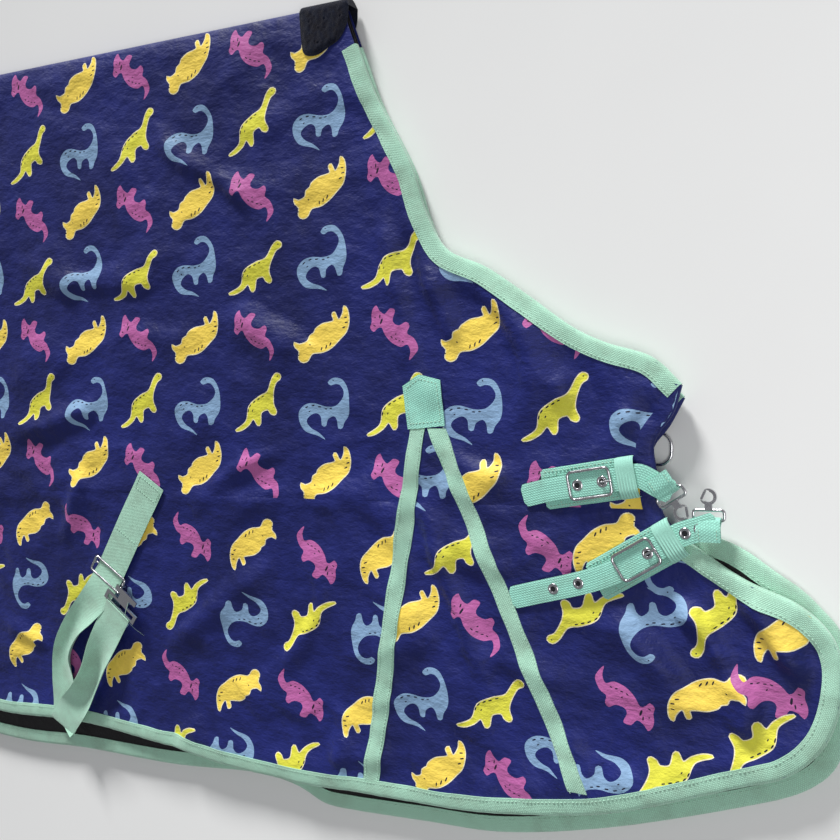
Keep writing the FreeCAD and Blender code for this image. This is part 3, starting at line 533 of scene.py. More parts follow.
def ink_cloth(name, rgb, light=1.25, dark=0.72, rough=0.56):
    """Coated polyester of the outer shell: fine plain weave, creases, handling marks and patchy tone; on the
    navy the dark patches are deepened as painted shade.
    """
    material, tree, surface = shader(name)
    where = node(tree, "TexCoord").outputs["Object"]
    parts = node(tree, "SeparateXYZ", {0: where})
    broad = noise(tree, where, 6.5, 4.0)
    blotch = noise(tree, where, 38.0, 5.0, 0.62)
    # Patchy tone: noise mixes a darker and a lighter copy of the ink at random. With the navy's low dark
    # factor the darker patches are also painted shade of the folds, though they do not follow the valleys.
    shade = stretch_range(tree, calc(tree, "ADD", calc(tree, "MULTIPLY", broad, 0.6),
                                     calc(tree, "MULTIPLY", blotch, 0.4)), 0.34, 0.66)
    colour = mix(tree, shade, linear(*rgb, scale=dark), linear(*rgb, scale=light))
    dust = stretch_range(tree, noise(tree, where, 150.0, 6.0, 0.7), 0.60, 0.80, 0.0, 0.09)
    colour = mix(tree, dust, colour, linear(150, 150, 178))
    tree.links.new(colour, surface.inputs["Base Color"])
    weave = calc(tree, "MULTIPLY", waves(tree, parts.outputs[0], SHELL_WEAVE),
                 waves(tree, parts.outputs[1], SHELL_WEAVE))
    warped = node(tree, "VectorMath", {0: where, 1: (1.0, 1.6, 1.0)}, operation="MULTIPLY").outputs[0]
    crease = noise(tree, warped, 30.0, 5.0, 0.6)
    fine = noise(tree, warped, 95.0, 3.0, 0.5)
    bumps = relief_node(tree, crease, 0.0062, 0.7)
    bumps = relief_node(tree, fine, 0.0014, 0.5, bumps)
    bumps = relief_node(tree, weave, 0.00012, 0.5, bumps)
    tree.links.new(bumps, surface.inputs["Normal"])
    gloss = stretch_range(tree, blotch, 0.3, 0.7, rough - 0.07, rough + 0.1)
    tree.links.new(gloss, surface.inputs["Roughness"])
    surface.inputs["Sheen Weight"].default_value = 0.05
    surface.inputs["Sheen Roughness"].default_value = 0.4
    surface.inputs["Specular IOR Level"].default_value = 0.34
    return material


def webbing(name, rgb, rib, twill, stain=0.25, rough=0.72, depth=0.0004):
    """Woven tape: ribs across it, twill lines along it, uneven thread tone and soiling."""
    material, tree, surface = shader(name)
    flat = node(tree, "SeparateXYZ", {0: node(tree, "UVMap", uv_map="flat").outputs[0]})
    along, across = flat.outputs[0], flat.outputs[1]
    where = node(tree, "TexCoord").outputs["Object"]
    slant = calc(tree, "ADD", along, calc(tree, "MULTIPLY", across, 0.8))
    ribs = waves(tree, slant, rib)
    lines = waves(tree, across, twill)
    weave = calc(tree, "MULTIPLY", ribs, lines)
    grime = stretch_range(tree, noise(tree, where, 26.0, 6.0, 0.68), 0.46, 0.72, 0.0, stain)
    thread = stretch_range(tree, noise(tree, where, 900.0, 2.0), 0.3, 0.7, 0.86, 1.1)
    base = mix(tree, weave, linear(*rgb, scale=0.78), linear(*rgb, scale=1.08))
    base = mix(tree, grime, base, linear(112, 116, 100))
    value = node(tree, "HueSaturation", {"Value": thread, "Color": base}).outputs[0]
    tree.links.new(value, surface.inputs["Base Color"])
    bumps = relief_node(tree, weave, depth, 0.8)
    bumps = relief_node(tree, noise(tree, where, 60.0, 4.0), 0.0008, 0.4, bumps)
    tree.links.new(bumps, surface.inputs["Normal"])
    surface.inputs["Roughness"].default_value = rough
    surface.inputs["Sheen Weight"].default_value = 0.35
    return material


def pile(name, rgb, scale=620.0, depth=0.0016, sheen=0.5):
    """Fleece or wadding: soft tangled fibres."""
    material, tree, surface = shader(name)
    where = node(tree, "TexCoord").outputs["Object"]
    tufts = noise(tree, where, scale, 6.0, 0.75)
    clumps = noise(tree, where, scale / 7, 3.0)
    both = calc(tree, "ADD", calc(tree, "MULTIPLY", tufts, 0.5), calc(tree, "MULTIPLY", clumps, 0.5))
    shade = stretch_range(tree, both, 0.36, 0.64)
    colour = mix(tree, shade, linear(*rgb, scale=0.5), linear(*rgb, scale=1.9))
    tree.links.new(colour, surface.inputs["Base Color"])
    tree.links.new(relief_node(tree, both, depth, 0.9), surface.inputs["Normal"])
    surface.inputs["Roughness"].default_value = 0.95
    surface.inputs["Sheen Weight"].default_value = sheen
    surface.inputs["Specular IOR Level"].default_value = 0.15
    return material


def bright_metal(name):
    """Plated steel with faint draw lines, fingerprints and dull spots."""
    rgb, rough = (205, 205, 208), 0.2
    material, tree, surface = shader(name)
    where = node(tree, "TexCoord").outputs["Object"]
    smear = noise(tree, where, 140.0, 5.0, 0.6)
    spots = stretch_range(tree, noise(tree, where, 520.0, 4.0, 0.7), 0.62, 0.75)
    colour = mix(tree, calc(tree, "MULTIPLY", spots, 0.55), linear(*rgb), linear(112, 106, 96))
    tree.links.new(colour, surface.inputs["Base Color"])
    surface.inputs["Metallic"].default_value = 1.0
    tree.links.new(stretch_range(tree, calc(tree, "ADD", smear, calc(tree, "MULTIPLY", spots, 0.5)),
                                 0.3, 1.1, rough - 0.06, rough + 0.28), surface.inputs["Roughness"])
    tree.links.new(relief_node(tree, smear, 0.0003, 0.25), surface.inputs["Normal"])
    return material


# The navy's low dark factor, 0.55, deepens its random dark patches into painted shade.
NAVY = ink_cloth("shell_navy", (21, 31, 102), 1.22, 0.55)
PINK = ink_cloth("print_pink", (184, 98, 160), 1.12, 0.8)
YELLOW = ink_cloth("print_yellow", (252, 218, 92), 1.06, 0.86)
LIME = ink_cloth("print_lime", (226, 222, 72), 1.06, 0.84)
BLUE = ink_cloth("print_blue", (132, 164, 198), 1.1, 0.84)
PALE = ink_cloth("print_pale_edge", (238, 228, 186), 1.05, 0.9)
MARKS = ink_cloth("print_marks", (22, 20, 44), 1.1, 0.8)
LINING = ink_cloth("lining_black", (24, 22, 24), 1.5, 0.7, 0.6)
WADDING = pile("wadding_white", (205, 205, 200), 260.0, 0.002)
FLEECE = pile("fleece_navy", (9, 11, 27), 700.0, 0.0018, 0.12)
MINT = webbing("binding_mint", (176, 226, 200), 0.0024, 0.0016, 0.34)
TURQUOISE = webbing("webbing_turquoise", (158, 228, 208), 0.0028, 0.0024, 0.26, 0.7, 0.0005)
ELASTIC = webbing("elastic_turquoise", (164, 228, 208), 0.05, 0.0030, 0.2, 0.75, 0.0011)
THREAD = webbing("thread_mint", (186, 226, 204), 0.0008, 0.0006, 0.2, 0.8, 0.0001)
METAL = bright_metal("metal_bright")
# Near-black for the discs set in the eyelets: painted shade of the holes.
HOLE_SHADE = ink_cloth("eyelet_shadow", (16, 18, 24), 1.0, 0.7)
SHELL_MATERIALS = [NAVY, PINK, YELLOW, LIME, BLUE, PALE, MARKS]


# ---------------------------------------------------------------- the print

# Outlines of the four printed animals, about 65 mm long, and their small marks (x, y, turn, length).
SHAPES = {
    "lime": [(-34, -28), (-19, -19), (-13, -3), (1, 6), (14, 11), (22, 24), (28, 29), (33, 27), (32, 23),
             (26, 19), (20, 6), (19, -3), (22, -11), (19, -14), (14, -12), (11, -8), (2, -11), (0, -22),
             (-4, -24), (-9, -17), (-16, -23), (-26, -28)],
    "blue": [(3, 27), (9, 32), (20, 31), (28, 21), (31, 6), (30, -4), (25, -12), (23, -18), (18, -19),
             (16, -11), (12, -7), (5, -11), (3, -18), (-2, -18), (-4, -9), (-10, -6), (-18, -10), (-21, -16),
             (-15, -22), (-5, -26), (3, -32), (-7, -29), (-22, -26), (-30, -17), (-31, -6), (-23, 2),
             (-12, 4), (2, 2), (14, 4), (22, 12), (23, 19), (18, 25), (12, 26), (7, 24)],
    "pink": [(-19, 27), (-16, 22), (-10, 18), (-4, 23), (3, 21), (-1, 13), (1, 8), (9, 6), (16, 9), (19, 5),
             (17, -2), (23, -7), (27, -17), (23, -24), (18, -28), (20, -20), (17, -13), (9, -15), (-2, -11),
             (-10, -3), (-14, 5), (-19, 4), (-23, 1), (-27, 5), (-25, 11), (-25, 18), (-23, 24)],
    "yellow": [(-31, -8), (-26, -10), (-18, -7), (-16, -1), (-11, 2), (-9, 6), (-1, 11), (9, 13), (13, 15),
               (11, 21), (14, 23), (18, 16), (21, 17), (24, 23), (25, 29), (29, 26), (31, 15), (28, 4),
               (20, -4), (11, -12), (1, -17), (-11, -19), (-16, -26), (-22, -28), (-27, -25), (-26, -17),
               (-30, -13)],
}
SMALL_MARKS = {
    "lime": [(-15, -8, 70, 4), (-12, -3, 50, 4), (-6, 1, 35, 4), (0, 3.5, 25, 4), (6, 6, 20, 3.5),
             (-9, -8, 60, 2.5), (29, 26, 0, 1.6)],
    "blue": [(-22, -1, 30, 4), (-14, 1.5, 10, 4), (-6, 1, 0, 4), (2, -0.5, 0, 3.5), (-18, -5, 30, 2.5),
             (8, 0.5, 10, 3), (9, 29.5, 0, 1.6)],
    "pink": [(-14, 11, 65, 6), (-15.5, 16, 80, 4), (-3, -5, -40, 3), (2, -7, -15, 3), (7, -9, 0, 3),
             (2, -2, 30, 2), (12, -10, -20, 2.4), (-21, 15, 0, 1.6), (-22, 7, -30, 3)],
    "yellow": [(-1, -14, 80, 4), (4, -12, 75, 4.4), (9, -9, 65, 4.4), (25, 8, 20, 4), (28, 13, 10, 4),
               (27, 18, 0, 3.6), (-27, -21, 0, 1.8), (-14, -10, -20, 2)],
}
PRINT_SCALE = 1.14
INK = {"pink": 1, "yellow": 2, "lime": 3, "blue": 4}
PALE_EDGE, MARK = 5, 6


def animal(kind, x, y, turn=0.0):
    """Closed outlines of one printed animal, each with the material number of what it encloses."""
    c, s = math.cos(math.radians(turn)), math.sin(math.radians(turn))
    spin = np.array(((c, s), (-s, c)))
    centre = np.array((x, y), float)
    body = smooth_line(np.array(SHAPES[kind]) * PRINT_SCALE, 3.4, closed=True)
    loops = []
    if kind in ("yellow", "lime"):
        ahead = np.roll(body, -1, axis=0) - np.roll(body, 1, axis=0)
        normal = np.column_stack([-ahead[:, 1], ahead[:, 0]]) / np.linalg.norm(ahead, axis=1)[:, None]
        area = np.sum(body[:, 0] * np.roll(body[:, 1], -1) - np.roll(body[:, 0], -1) * body[:, 1])
        loops.append((body - math.copysign(1.1, area) * normal, PALE_EDGE))
    loops.append((body, INK[kind]))
    for mx, my, angle, length in SMALL_MARKS[kind]:
        t = np.radians(np.arange(0, 360, 60))
        wide = max(0.55, 0.17 * length)
        a = math.radians(angle)
        leaf = np.column_stack([np.cos(t) * length / 2, np.sin(t) * wide])
        leaf = leaf @ np.array(((math.cos(a), math.sin(a)), (-math.sin(a), math.cos(a))))
        leaf = leaf * 1.3 + np.array((mx, my)) * PRINT_SCALE
        loops.append((leaf, MARK))
    return [(loop @ spin + centre, number) for loop, number in loops]


def lattice_upper():
    """Print of the upper panel, row by row from the fold, as kinds and places."""
    placed = []
    for row in range(7):
        for column in range(-10, 11):
            kinds = ("pink", "yellow") if row % 2 == 0 else ("lime", "blue")
            x, y = 95.0 * column - 510, -31 - 83.34 * row
            wobble = 5 * math.sin(3.1 * column + 1.7 * row)
            placed.append((kinds[column % 2], x, y + 0.6 * wobble, wobble))
    return placed


def lattice_rear():
    placed = []
    for row in range(4):
        for column in range(-9, 7):
            first, second = ("yellow", "pink") if row % 2 == 0 else ("blue", "lime")
            x = 95.6 * column - 527 - 13 * row
            y = -621 - 91 * row
            wobble = 5 * math.sin(2.3 * column + 1.1 * row)
            placed.append(((first, second)[column % 2], x, y + wobble, 180 + wobble))
    return placed


FRONT_PRINT = [("pink", 240, -591, 178), ("yellow", 305, -583, 183), ("lime", 281, -663, 175),
               ("blue", 356, -659, 190), ("lime", 419, -647, 196), ("yellow", 487, -653, 176),
               ("pink", 325, -740, 184), ("yellow", 408, -727, 170), ("pink", 465, -712, 200),
               ("lime", 372, -814, 176), ("blue", 300, -836, 186), ("lime", 455, -770, 190),
               ("blue", 375, -592, 184)]
INSERT_PRINT = [("lime", 134, -601, 0), ("yellow", 78, -681, 4), ("pink", 158, -683, -4),
                ("blue", 89, -777, 3), ("lime", 175, -769, -3), ("yellow", 110, -854, 5),
                ("pink", 196, -852, 0), ("blue", 250, -800, 0),
                ("blue", 98, -525, 0)]


# ---------------------------------------------------------------- cloth sheets


def grid_inside(loop, spacing, margin):
    """Evenly spread points inside a loop, clear of its edge."""
    low, high = loop.min(axis=0), loop.max(axis=0)
    rows = np.arange(low[1] + spacing / 2, high[1], spacing * 0.866)
    points = []
    for k, y in enumerate(rows):
        xs = np.arange(low[0] + spacing * (0.5 + 0.5 * (k % 2)), high[0], spacing)
        points.append(np.column_stack([xs, np.full(xs.shape, y)]))
    points = np.vstack(points)
    points = points[inside(points[:, 0], points[:, 1], loop)]
    closed = np.vstack([loop, loop[:1]])
    near = np.full(len(points), 1e9)
    for a, b in zip(closed, closed[1:]):
        box_near = ((points[:, 0] > min(a[0], b[0]) - margin) & (points[:, 0] < max(a[0], b[0]) + margin)
                    & (points[:, 1] > min(a[1], b[1]) - margin) & (points[:, 1] < max(a[1], b[1]) + margin))
        if box_near.any():
            near[box_near] = np.minimum(near[box_near],
                                        distance(points[box_near, 0], points[box_near, 1], [a, b])[0])
    return points[near > margin]


def triangles(loop, spacing, prints):
    """Flat triangle mesh of a loop with the printed outlines as edges: points, faces, materials."""
    low, high = loop.min(axis=0) - 2, loop.max(axis=0) + 2
    inner = grid_inside(loop, spacing, spacing * 0.45)
    points, edges, shown = [loop], [], []
    count = len(loop)
    edges += [(i, (i + 1) % count) for i in range(count)]
    for outline, number in prints:
        if (outline.max(axis=0) < low).any() or (outline.min(axis=0) > high).any():
            continue
        if not inside(outline[:, 0], outline[:, 1], loop).any():
            continue
        shown.append((outline, number))
        edges += [(count + i, count + (i + 1) % len(outline)) for i in range(len(outline))]
        points.append(outline)
        count += len(outline)
    points.append(inner)
    flat = np.vstack(points)
    made = delaunay_2d_cdt([tuple(p) for p in flat], edges, [], 0, 1e-4)
    verts = np.array([tuple(v) for v in made[0]])
    faces = np.array([f for f in made[2] if len(f) == 3])
    mid = verts[faces].mean(axis=1)
    keep = inside(mid[:, 0], mid[:, 1], loop)
    a, b, c = (verts[faces[:, k]] for k in range(3))
    area = (b[:, 0] - a[:, 0]) * (c[:, 1] - a[:, 1]) - (c[:, 0] - a[:, 0]) * (b[:, 1] - a[:, 1])
    keep &= np.abs(area) > 1e-6
    faces = np.where((area > 0)[:, None], faces, faces[:, ::-1])[keep]
    mid = mid[keep]
    numbers = np.zeros(len(faces), int)
    order = np.argsort(mid[:, 0], kind="stable")
    in_order = mid[order, 0]
    for outline, number in shown:
        first, last = np.searchsorted(in_order, (outline[:, 0].min(), outline[:, 0].max()))
        near = order[first:last]
        numbers[near[inside(mid[near, 0], mid[near, 1], outline)]] = number
    used = np.unique(faces)
    renumber = np.full(len(verts), -1)
    renumber[used] = np.arange(len(used))
    return verts[used], renumber[faces], numbers


def finish_mesh(name, verts, faces, materials, numbers=None, flat=None, sharp=50):
    """Object from points in millimetres, with smooth shading and a UV map in metres."""
    mesh = bpy.data.meshes.new(name)
    mesh.from_pydata((np.asarray(verts) * MM).tolist(), [], [list(map(int, f)) for f in faces])
    for material in materials:
        mesh.materials.append(material)
    if numbers is not None:
        mesh.polygons.foreach_set("material_index", np.asarray(numbers, dtype=np.int32))
    layer = mesh.uv_layers.new(name="flat")
    corner = np.empty(len(mesh.loops), dtype=np.int32)
    mesh.loops.foreach_get("vertex_index", corner)
    flat = np.asarray(verts)[:, :2] if flat is None else np.asarray(flat)
    layer.data.foreach_set("uv", (flat[corner] * MM).ravel().astype(np.float32))
    mesh.polygons.foreach_set("use_smooth", np.ones(len(mesh.polygons), dtype=bool))
    mesh.validate()
    mesh.set_sharp_from_angle(angle=math.radians(sharp))
    made = bpy.data.objects.new(name, mesh)
    bpy.context.collection.objects.link(made)
    return made


def sheet(name, loop, spacing, place, thickness, materials, prints=()):
    """Thin closed sheet of cloth: a meshed loop laid out by place(x, y, depth)."""
    points, faces, numbers = triangles(np.asarray(loop, float), spacing, prints)
    count = len(points)
    outer = place(points[:, 0], points[:, 1], 0.0)
    inner = place(points[:, 0], points[:, 1], thickness)
    seen = {}
    for face in faces:
        for a, b in ((face[0], face[1]), (face[1], face[2]), (face[2], face[0])):
            seen[(int(a), int(b))] = True
    rim = [(a, a + count, b + count, b) for a, b in seen if (b, a) not in seen]
    all_faces = [tuple(f) for f in faces] + [tuple(f[::-1] + count) for f in faces] + [r[::-1] for r in rim]
    all_numbers = np.concatenate([numbers, np.zeros(len(faces), int), np.zeros(len(rim), int)])
    if layer_volume(outer, inner, faces) < 0:
        all_faces = [face[::-1] for face in all_faces]
    return finish_mesh(name, np.vstack([outer, inner]), all_faces, materials, all_numbers,
                       np.vstack([points, points]))


def layer_volume(outer, inner, faces):
    """Sign of the space between two layers of a sheet: positive when its faces point outwards."""
    apart = (outer - inner)[faces[:, 0]]
    a, b, c = (outer[faces[:, k]] for k in range(3))
    return float(np.sum(np.cross(b - a, c - a) * apart))


def surface(x, y):
    return TOP + sample(RELIEF, x, y)


def seam_dip(x, y):
    """The cloth pulls in along the stitched panel seam."""
    return 1.1 * np.exp(-(np.abs(y - seam_y(x)) / 2.5) ** 2)


def right_place(x, y, depth):
    return np.column_stack([x, y, surface(x, y) - seam_dip(x, y) - depth])


def under_relief(x, y):
    """Gentle unevenness of the half that lies on the ground."""
    return 0.5 + 0.5 * np.sin(x / 37.0) * np.sin(y / 29.0)


def left_place(x, y, depth):
    return np.column_stack([x, y, BOTTOM + 0.6 * under_relief(x, y) + depth])


def unrolled_place(right, left, reach):
    """Cloth that goes over the fold: y counts down the right half, across the fold, down the left."""
    def place(x, s, depth):
        out = np.zeros((len(x), 3))
        out[:, 0] = x
        on_right, on_left = s <= 0, s >= FOLD_ARC
        over = ~(on_right | on_left)
        out[on_right] = right(x[on_right], s[on_right], depth)
        out[on_left] = left(x[on_left], FOLD_ARC - s[on_left], depth)
        turn = math.pi / 2 - math.pi * s[over] / FOLD_ARC
        high = right(np.zeros(1), np.zeros(1), 0.0)[0, 2]
        low = left(np.zeros(1), np.zeros(1), 0.0)[0, 2]
        radius = (high - low) / 2 - depth
        out[over, 1] = max(reach - depth, 0.4) * np.cos(turn)
        out[over, 2] = (high + low) / 2 + radius * np.sin(turn)
        return out
    return place


def attach(piece, body, slot, *nodes):
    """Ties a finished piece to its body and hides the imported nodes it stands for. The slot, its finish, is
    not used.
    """
    if body is not None:
        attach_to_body(piece, body)
    if nodes:
        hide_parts(*nodes)
    return piece


def edge_parts(edge):
    """Splits a half's edge where the panel seam and the gusset seams reach it."""
    x, y = edge[:, 0], edge[:, 1]
    below = y < seam_y(x)
    front = int(np.argmax(below))
    rear = len(edge) - int(np.argmax(below[::-1])) - 1
    hem = y < -800
    in_front = int(np.argmax(hem & (x < gusset_x(FRONT_FOOT, y))))
    in_rear = int(np.argmax(hem & (x < gusset_x(REAR_FOOT, y))))
    return front, in_front, in_rear, rear


def panel_loops(edge):
    """Loops of the four shell panels, counterclockwise."""
    front, in_front, in_rear, rear = edge_parts(edge)
    front_corner, rear_corner = seam_corner(FRONT_FOOT), seam_corner(REAR_FOOT)
    chest = np.array((edge[front, 0], seam_y(edge[front, 0])))
    tail = np.array((edge[rear, 0], seam_y(edge[rear, 0])))
    seam_rear = straight([tail, rear_corner], 9)
    seam_front = straight([front_corner, chest], 9)
    apex_rear, apex_front = straight([rear_corner, APEX], 9), straight([APEX, front_corner], 9)
    foot_front, foot_rear = edge[in_front], edge[in_rear]
    rear_side = straight([foot_rear, rear_corner], 9)
    front_side = straight([foot_front, front_corner], 9)
    upper = np.vstack([edge[:front], seam_front[::-1], apex_front[::-1][1:], apex_rear[::-1][1:],
                       seam_rear[::-1][1:], edge[rear + 1:]])
    front_lower = np.vstack([edge[front:in_front + 1], front_side[1:], seam_front[1:]])
    insert = np.vstack([edge[in_front:in_rear + 1], rear_side[1:], apex_rear[1:], apex_front[1:],
                        front_side[::-1][1:-1]])
    rear_lower = np.vstack([edge[in_rear:rear + 1], seam_rear, rear_side[::-1][1:-1]])
    return [loop[::-1] for loop in (upper, front_lower, insert, rear_lower)]


def printed(placed):
    return [loop for kind, x, y, turn in placed for loop in animal(kind, x, y, turn)]


def mirrored(loop):
    """The same loop in the unrolled plan of the left half."""
    return np.column_stack([loop[:, 0], FOLD_ARC - loop[:, 1]])


def left_sheet_place(x, s, depth):
    return left_place(x, FOLD_ARC - s, depth)


def move_print(placed):
    return [(kind, x, FOLD_ARC - y, turn) for kind, x, y, turn in placed]


def build_shell():
    """Printed outer cloth: one upper panel over the fold, and three lower panels on each half."""
    upper, front_lower, insert, rear_lower = panel_loops(RIGHT_EDGE)
    l_upper, l_front, l_insert, l_rear = panel_loops(LEFT_EDGE)
    right_run = upper[::-1]
    left_run = mirrored(l_upper[::-1])
    whole = np.vstack([right_run, left_run[::-1]])
    area = np.sum(whole[:, 0] * np.roll(whole[:, 1], -1) - np.roll(whole[:, 0], -1) * whole[:, 1])
    whole = whole if area > 0 else whole[::-1]
    prints = printed(lattice_upper()) + printed(move_print(lattice_upper()))
    place = unrolled_place(right_place, left_place, 6.5)
    shell = sheet("shell_upper", whole, 8.0, place, SHELL_THICK, SHELL_MATERIALS, prints)
    attach(shell, None, "printed_shell", "right_upper_panel", "left_upper_panel")
    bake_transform(shell)
    for name, loop, placed in (("front", front_lower, FRONT_PRINT), ("rear", rear_lower, lattice_rear()),
                               ("gusset", insert, INSERT_PRINT)):
        cloth = sheet("shell_%s_right" % name, loop, 7.0, right_place, SHELL_THICK, SHELL_MATERIALS,
                      printed(placed))
        stands_for = {"front": "front_panel", "rear": "lower_panel", "gusset": "gusset_insert"}[name]
        attach(cloth, "right_side", "printed_shell", "right_" + stands_for)
        loop = {"front": l_front, "rear": l_rear, "gusset": l_insert}[name]
        cloth = sheet("shell_%s_left" % name, mirrored(loop)[::-1], 14.0, left_sheet_place, SHELL_THICK,
                      SHELL_MATERIALS, printed(move_print(placed)))
        attach(cloth, "root", "printed_shell", "left_" + stands_for)


def inset_edge(edge, amount):
    """Edge run moved inwards."""
    ahead = np.gradient(edge, axis=0)
    ahead /= np.maximum(np.linalg.norm(ahead, axis=1), 1e-9)[:, None]
    return edge + amount * np.column_stack([ahead[:, 1], -ahead[:, 0]])


def right_lining_place(x, y, depth):
    return np.column_stack([x, y, LINING_LOW + 0.35 * under_relief(y, x) + depth])


def left_lining_place(x, y, depth):
    return np.column_stack([x, y, LEFT_LINING_HIGH - 0.35 * under_relief(y, x) - depth])


def build_inside():
    """Lining over the fold and the wadding of each half."""
    right_run, left_run = RIGHT_EDGE, mirrored(LEFT_EDGE)
    whole = np.vstack([right_run, left_run[::-1]])
    area = np.sum(whole[:, 0] * np.roll(whole[:, 1], -1) - np.roll(whole[:, 0], -1) * whole[:, 1])
    whole = whole if area > 0 else whole[::-1]

    def place(x, s, depth):
        out = unrolled_place(right_lining_place, left_lining_place, 1.6)(x, s, 0.0)
        on_right, on_left = s <= 0, s >= FOLD_ARC
        out[on_right, 2] += depth
        out[on_left, 2] -= depth
        over = ~(on_right | on_left)
        out[over, 1] += depth
        return out

    lining = sheet("lining", whole, 16.0, place, 0.7, [LINING])
    attach(lining, None, "lining", "right_lining", "left_lining")
    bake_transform(lining)
    for side, edge in (("right", RIGHT_EDGE), ("left", LEFT_EDGE)):
        loop = inset_edge(edge, 4.0)
        loop = loop[loop[:, 1] < -3.0][::-1]
        closed = np.vstack([loop, loop[:1]])

        def crowned(x, y, depth, side=side, closed=closed):
            gap, _ = distance(x, y, closed)
            plump = 0.45 + 0.55 * ease(gap / 28)
            if side == "right":
                low = LINING_LOW + 1.0
                ceiling = TOP + np.minimum(sample(RELIEF_LOW, x, y), 3.0) - 2.3
                high = low + plump * np.maximum(ceiling - low, 0.25)
            else:
                high = LEFT_LINING_HIGH - 1.5
                low = high - plump * (high - BOTTOM - 2.2)
            return np.column_stack([x, y, np.broadcast_to(high if depth == 0.0 else low, x.shape)])

        pad = sheet("wadding_" + side, loop, 15.0, crowned, 1.0, [WADDING])
        attach(pad, "right_side" if side == "right" else "root", "wadding", side + "_fill")


# ---------------------------------------------------------------- tapes and stitches


def plan_frames(line):
    """Unit tangents and left-hand normals of a plan line, with its running length."""
    ahead = np.gradient(line, axis=0)
    ahead /= np.maximum(np.linalg.norm(ahead, axis=1), 1e-9)[:, None]
    side = np.column_stack([-ahead[:, 1], ahead[:, 0]])
    length = np.concatenate([[0], np.cumsum(np.hypot(*(line[1:] - line[:-1]).T))])
    return ahead, side, length


def swept(name, rings, lengths, widths, materials, sharp=50):
    """Closed tube through rings of points, with UV u along the run and v round the ring."""
    count, size = len(rings), len(rings[0])
    verts = np.vstack(rings)
    faces = []
    for i in range(count - 1):
        for j in range(size):
            a, b = i * size + j, i * size + (j + 1) % size
            faces.append((a, b, b + size, a + size))
    faces.append(tuple(range(size))[::-1])
    faces.append(tuple((count - 1) * size + j for j in range(size)))
    flat = np.vstack([np.column_stack([np.full(size, u), w]) for u, w in zip(lengths, widths)])
    volume_sign = signed_volume(verts, faces)
    if volume_sign < 0:
        faces = [f[::-1] for f in faces]
    return finish_mesh(name, verts, faces, materials, None, flat, sharp)


def signed_volume(verts, faces):
    """Volume enclosed by quads, positive when they face outwards."""
    quads = np.array([face for face in faces if len(face) == 4])
    a, b, c, d = (verts[quads[:, k]] for k in range(4))
    return float(np.sum(a * np.cross(b, c)) + np.sum(a * np.cross(c, d)))


STITCHES = {"right_side": [], "root": []}


def stitch_row(body, line, place, pitch=4.4, length=2.9):
    """Notes one row of thread stitches along a plan line, laid at place(x, y) heights."""
    lift = 0.25
    _, _, running = plan_frames(line)
    marks = np.arange(pitch / 2, running[-1], pitch)
    for s in marks:
        ends = [np.array([np.interp(s + d, running, line[:, k]) for k in (0, 1)])
                for d in (-length / 2, length / 2)]
        heights = [place(e[0], e[1]) for e in ends]
        STITCHES[body].append((np.append(ends[0], heights[0] + lift), np.append(ends[1], heights[1] + lift)))


def level_row(body, line, level, pitch=4.2, length=2.8):
    """A row of stitches on flat webbing, all at one height."""
    STITCHES.setdefault(body, [])
    stitch_row(body, line, lambda x, y: level, pitch, length)


def build_stitches():
    """Every noted stitch as a small rounded length of thread."""
    for body, stitches in STITCHES.items():
        verts, faces = [], []
        for start, end in stitches:
            run = end - start
            size = np.linalg.norm(run)
            if size < 1e-6:
                continue
            run = run / size
            side = np.cross(run, (0, 0, 1.0))
            side /= np.linalg.norm(side)
            up = np.cross(side, run)
            base = len(verts)
            verts.append(start - up * 0.3)
            for t, r in ((0.15, 0.42), (0.5, 0.5), (0.85, 0.42)):
                centre = start + run * size * t
                for a in (0, 60, 120, 180, 240, 300):
                    c, s = math.cos(math.radians(a)), math.sin(math.radians(a))
                    verts.append(centre + r * (c * side + s * up))
            verts.append(end - up * 0.3)
            last = base + 19
            for j in range(6):
                k = (j + 1) % 6
                faces.append((base, base + 1 + j, base + 1 + k))
                for ring in (0, 1):
                    a = base + 1 + ring * 6
                    faces.append((a + j, a + 6 + j, a + 6 + k, a + k))
                faces.append((last, base + 13 + k, base + 13 + j))
        if verts:
            thread = finish_mesh("stitching_" + body, np.array(verts), faces, [THREAD])
            attach(thread, body, "mint_webbing")


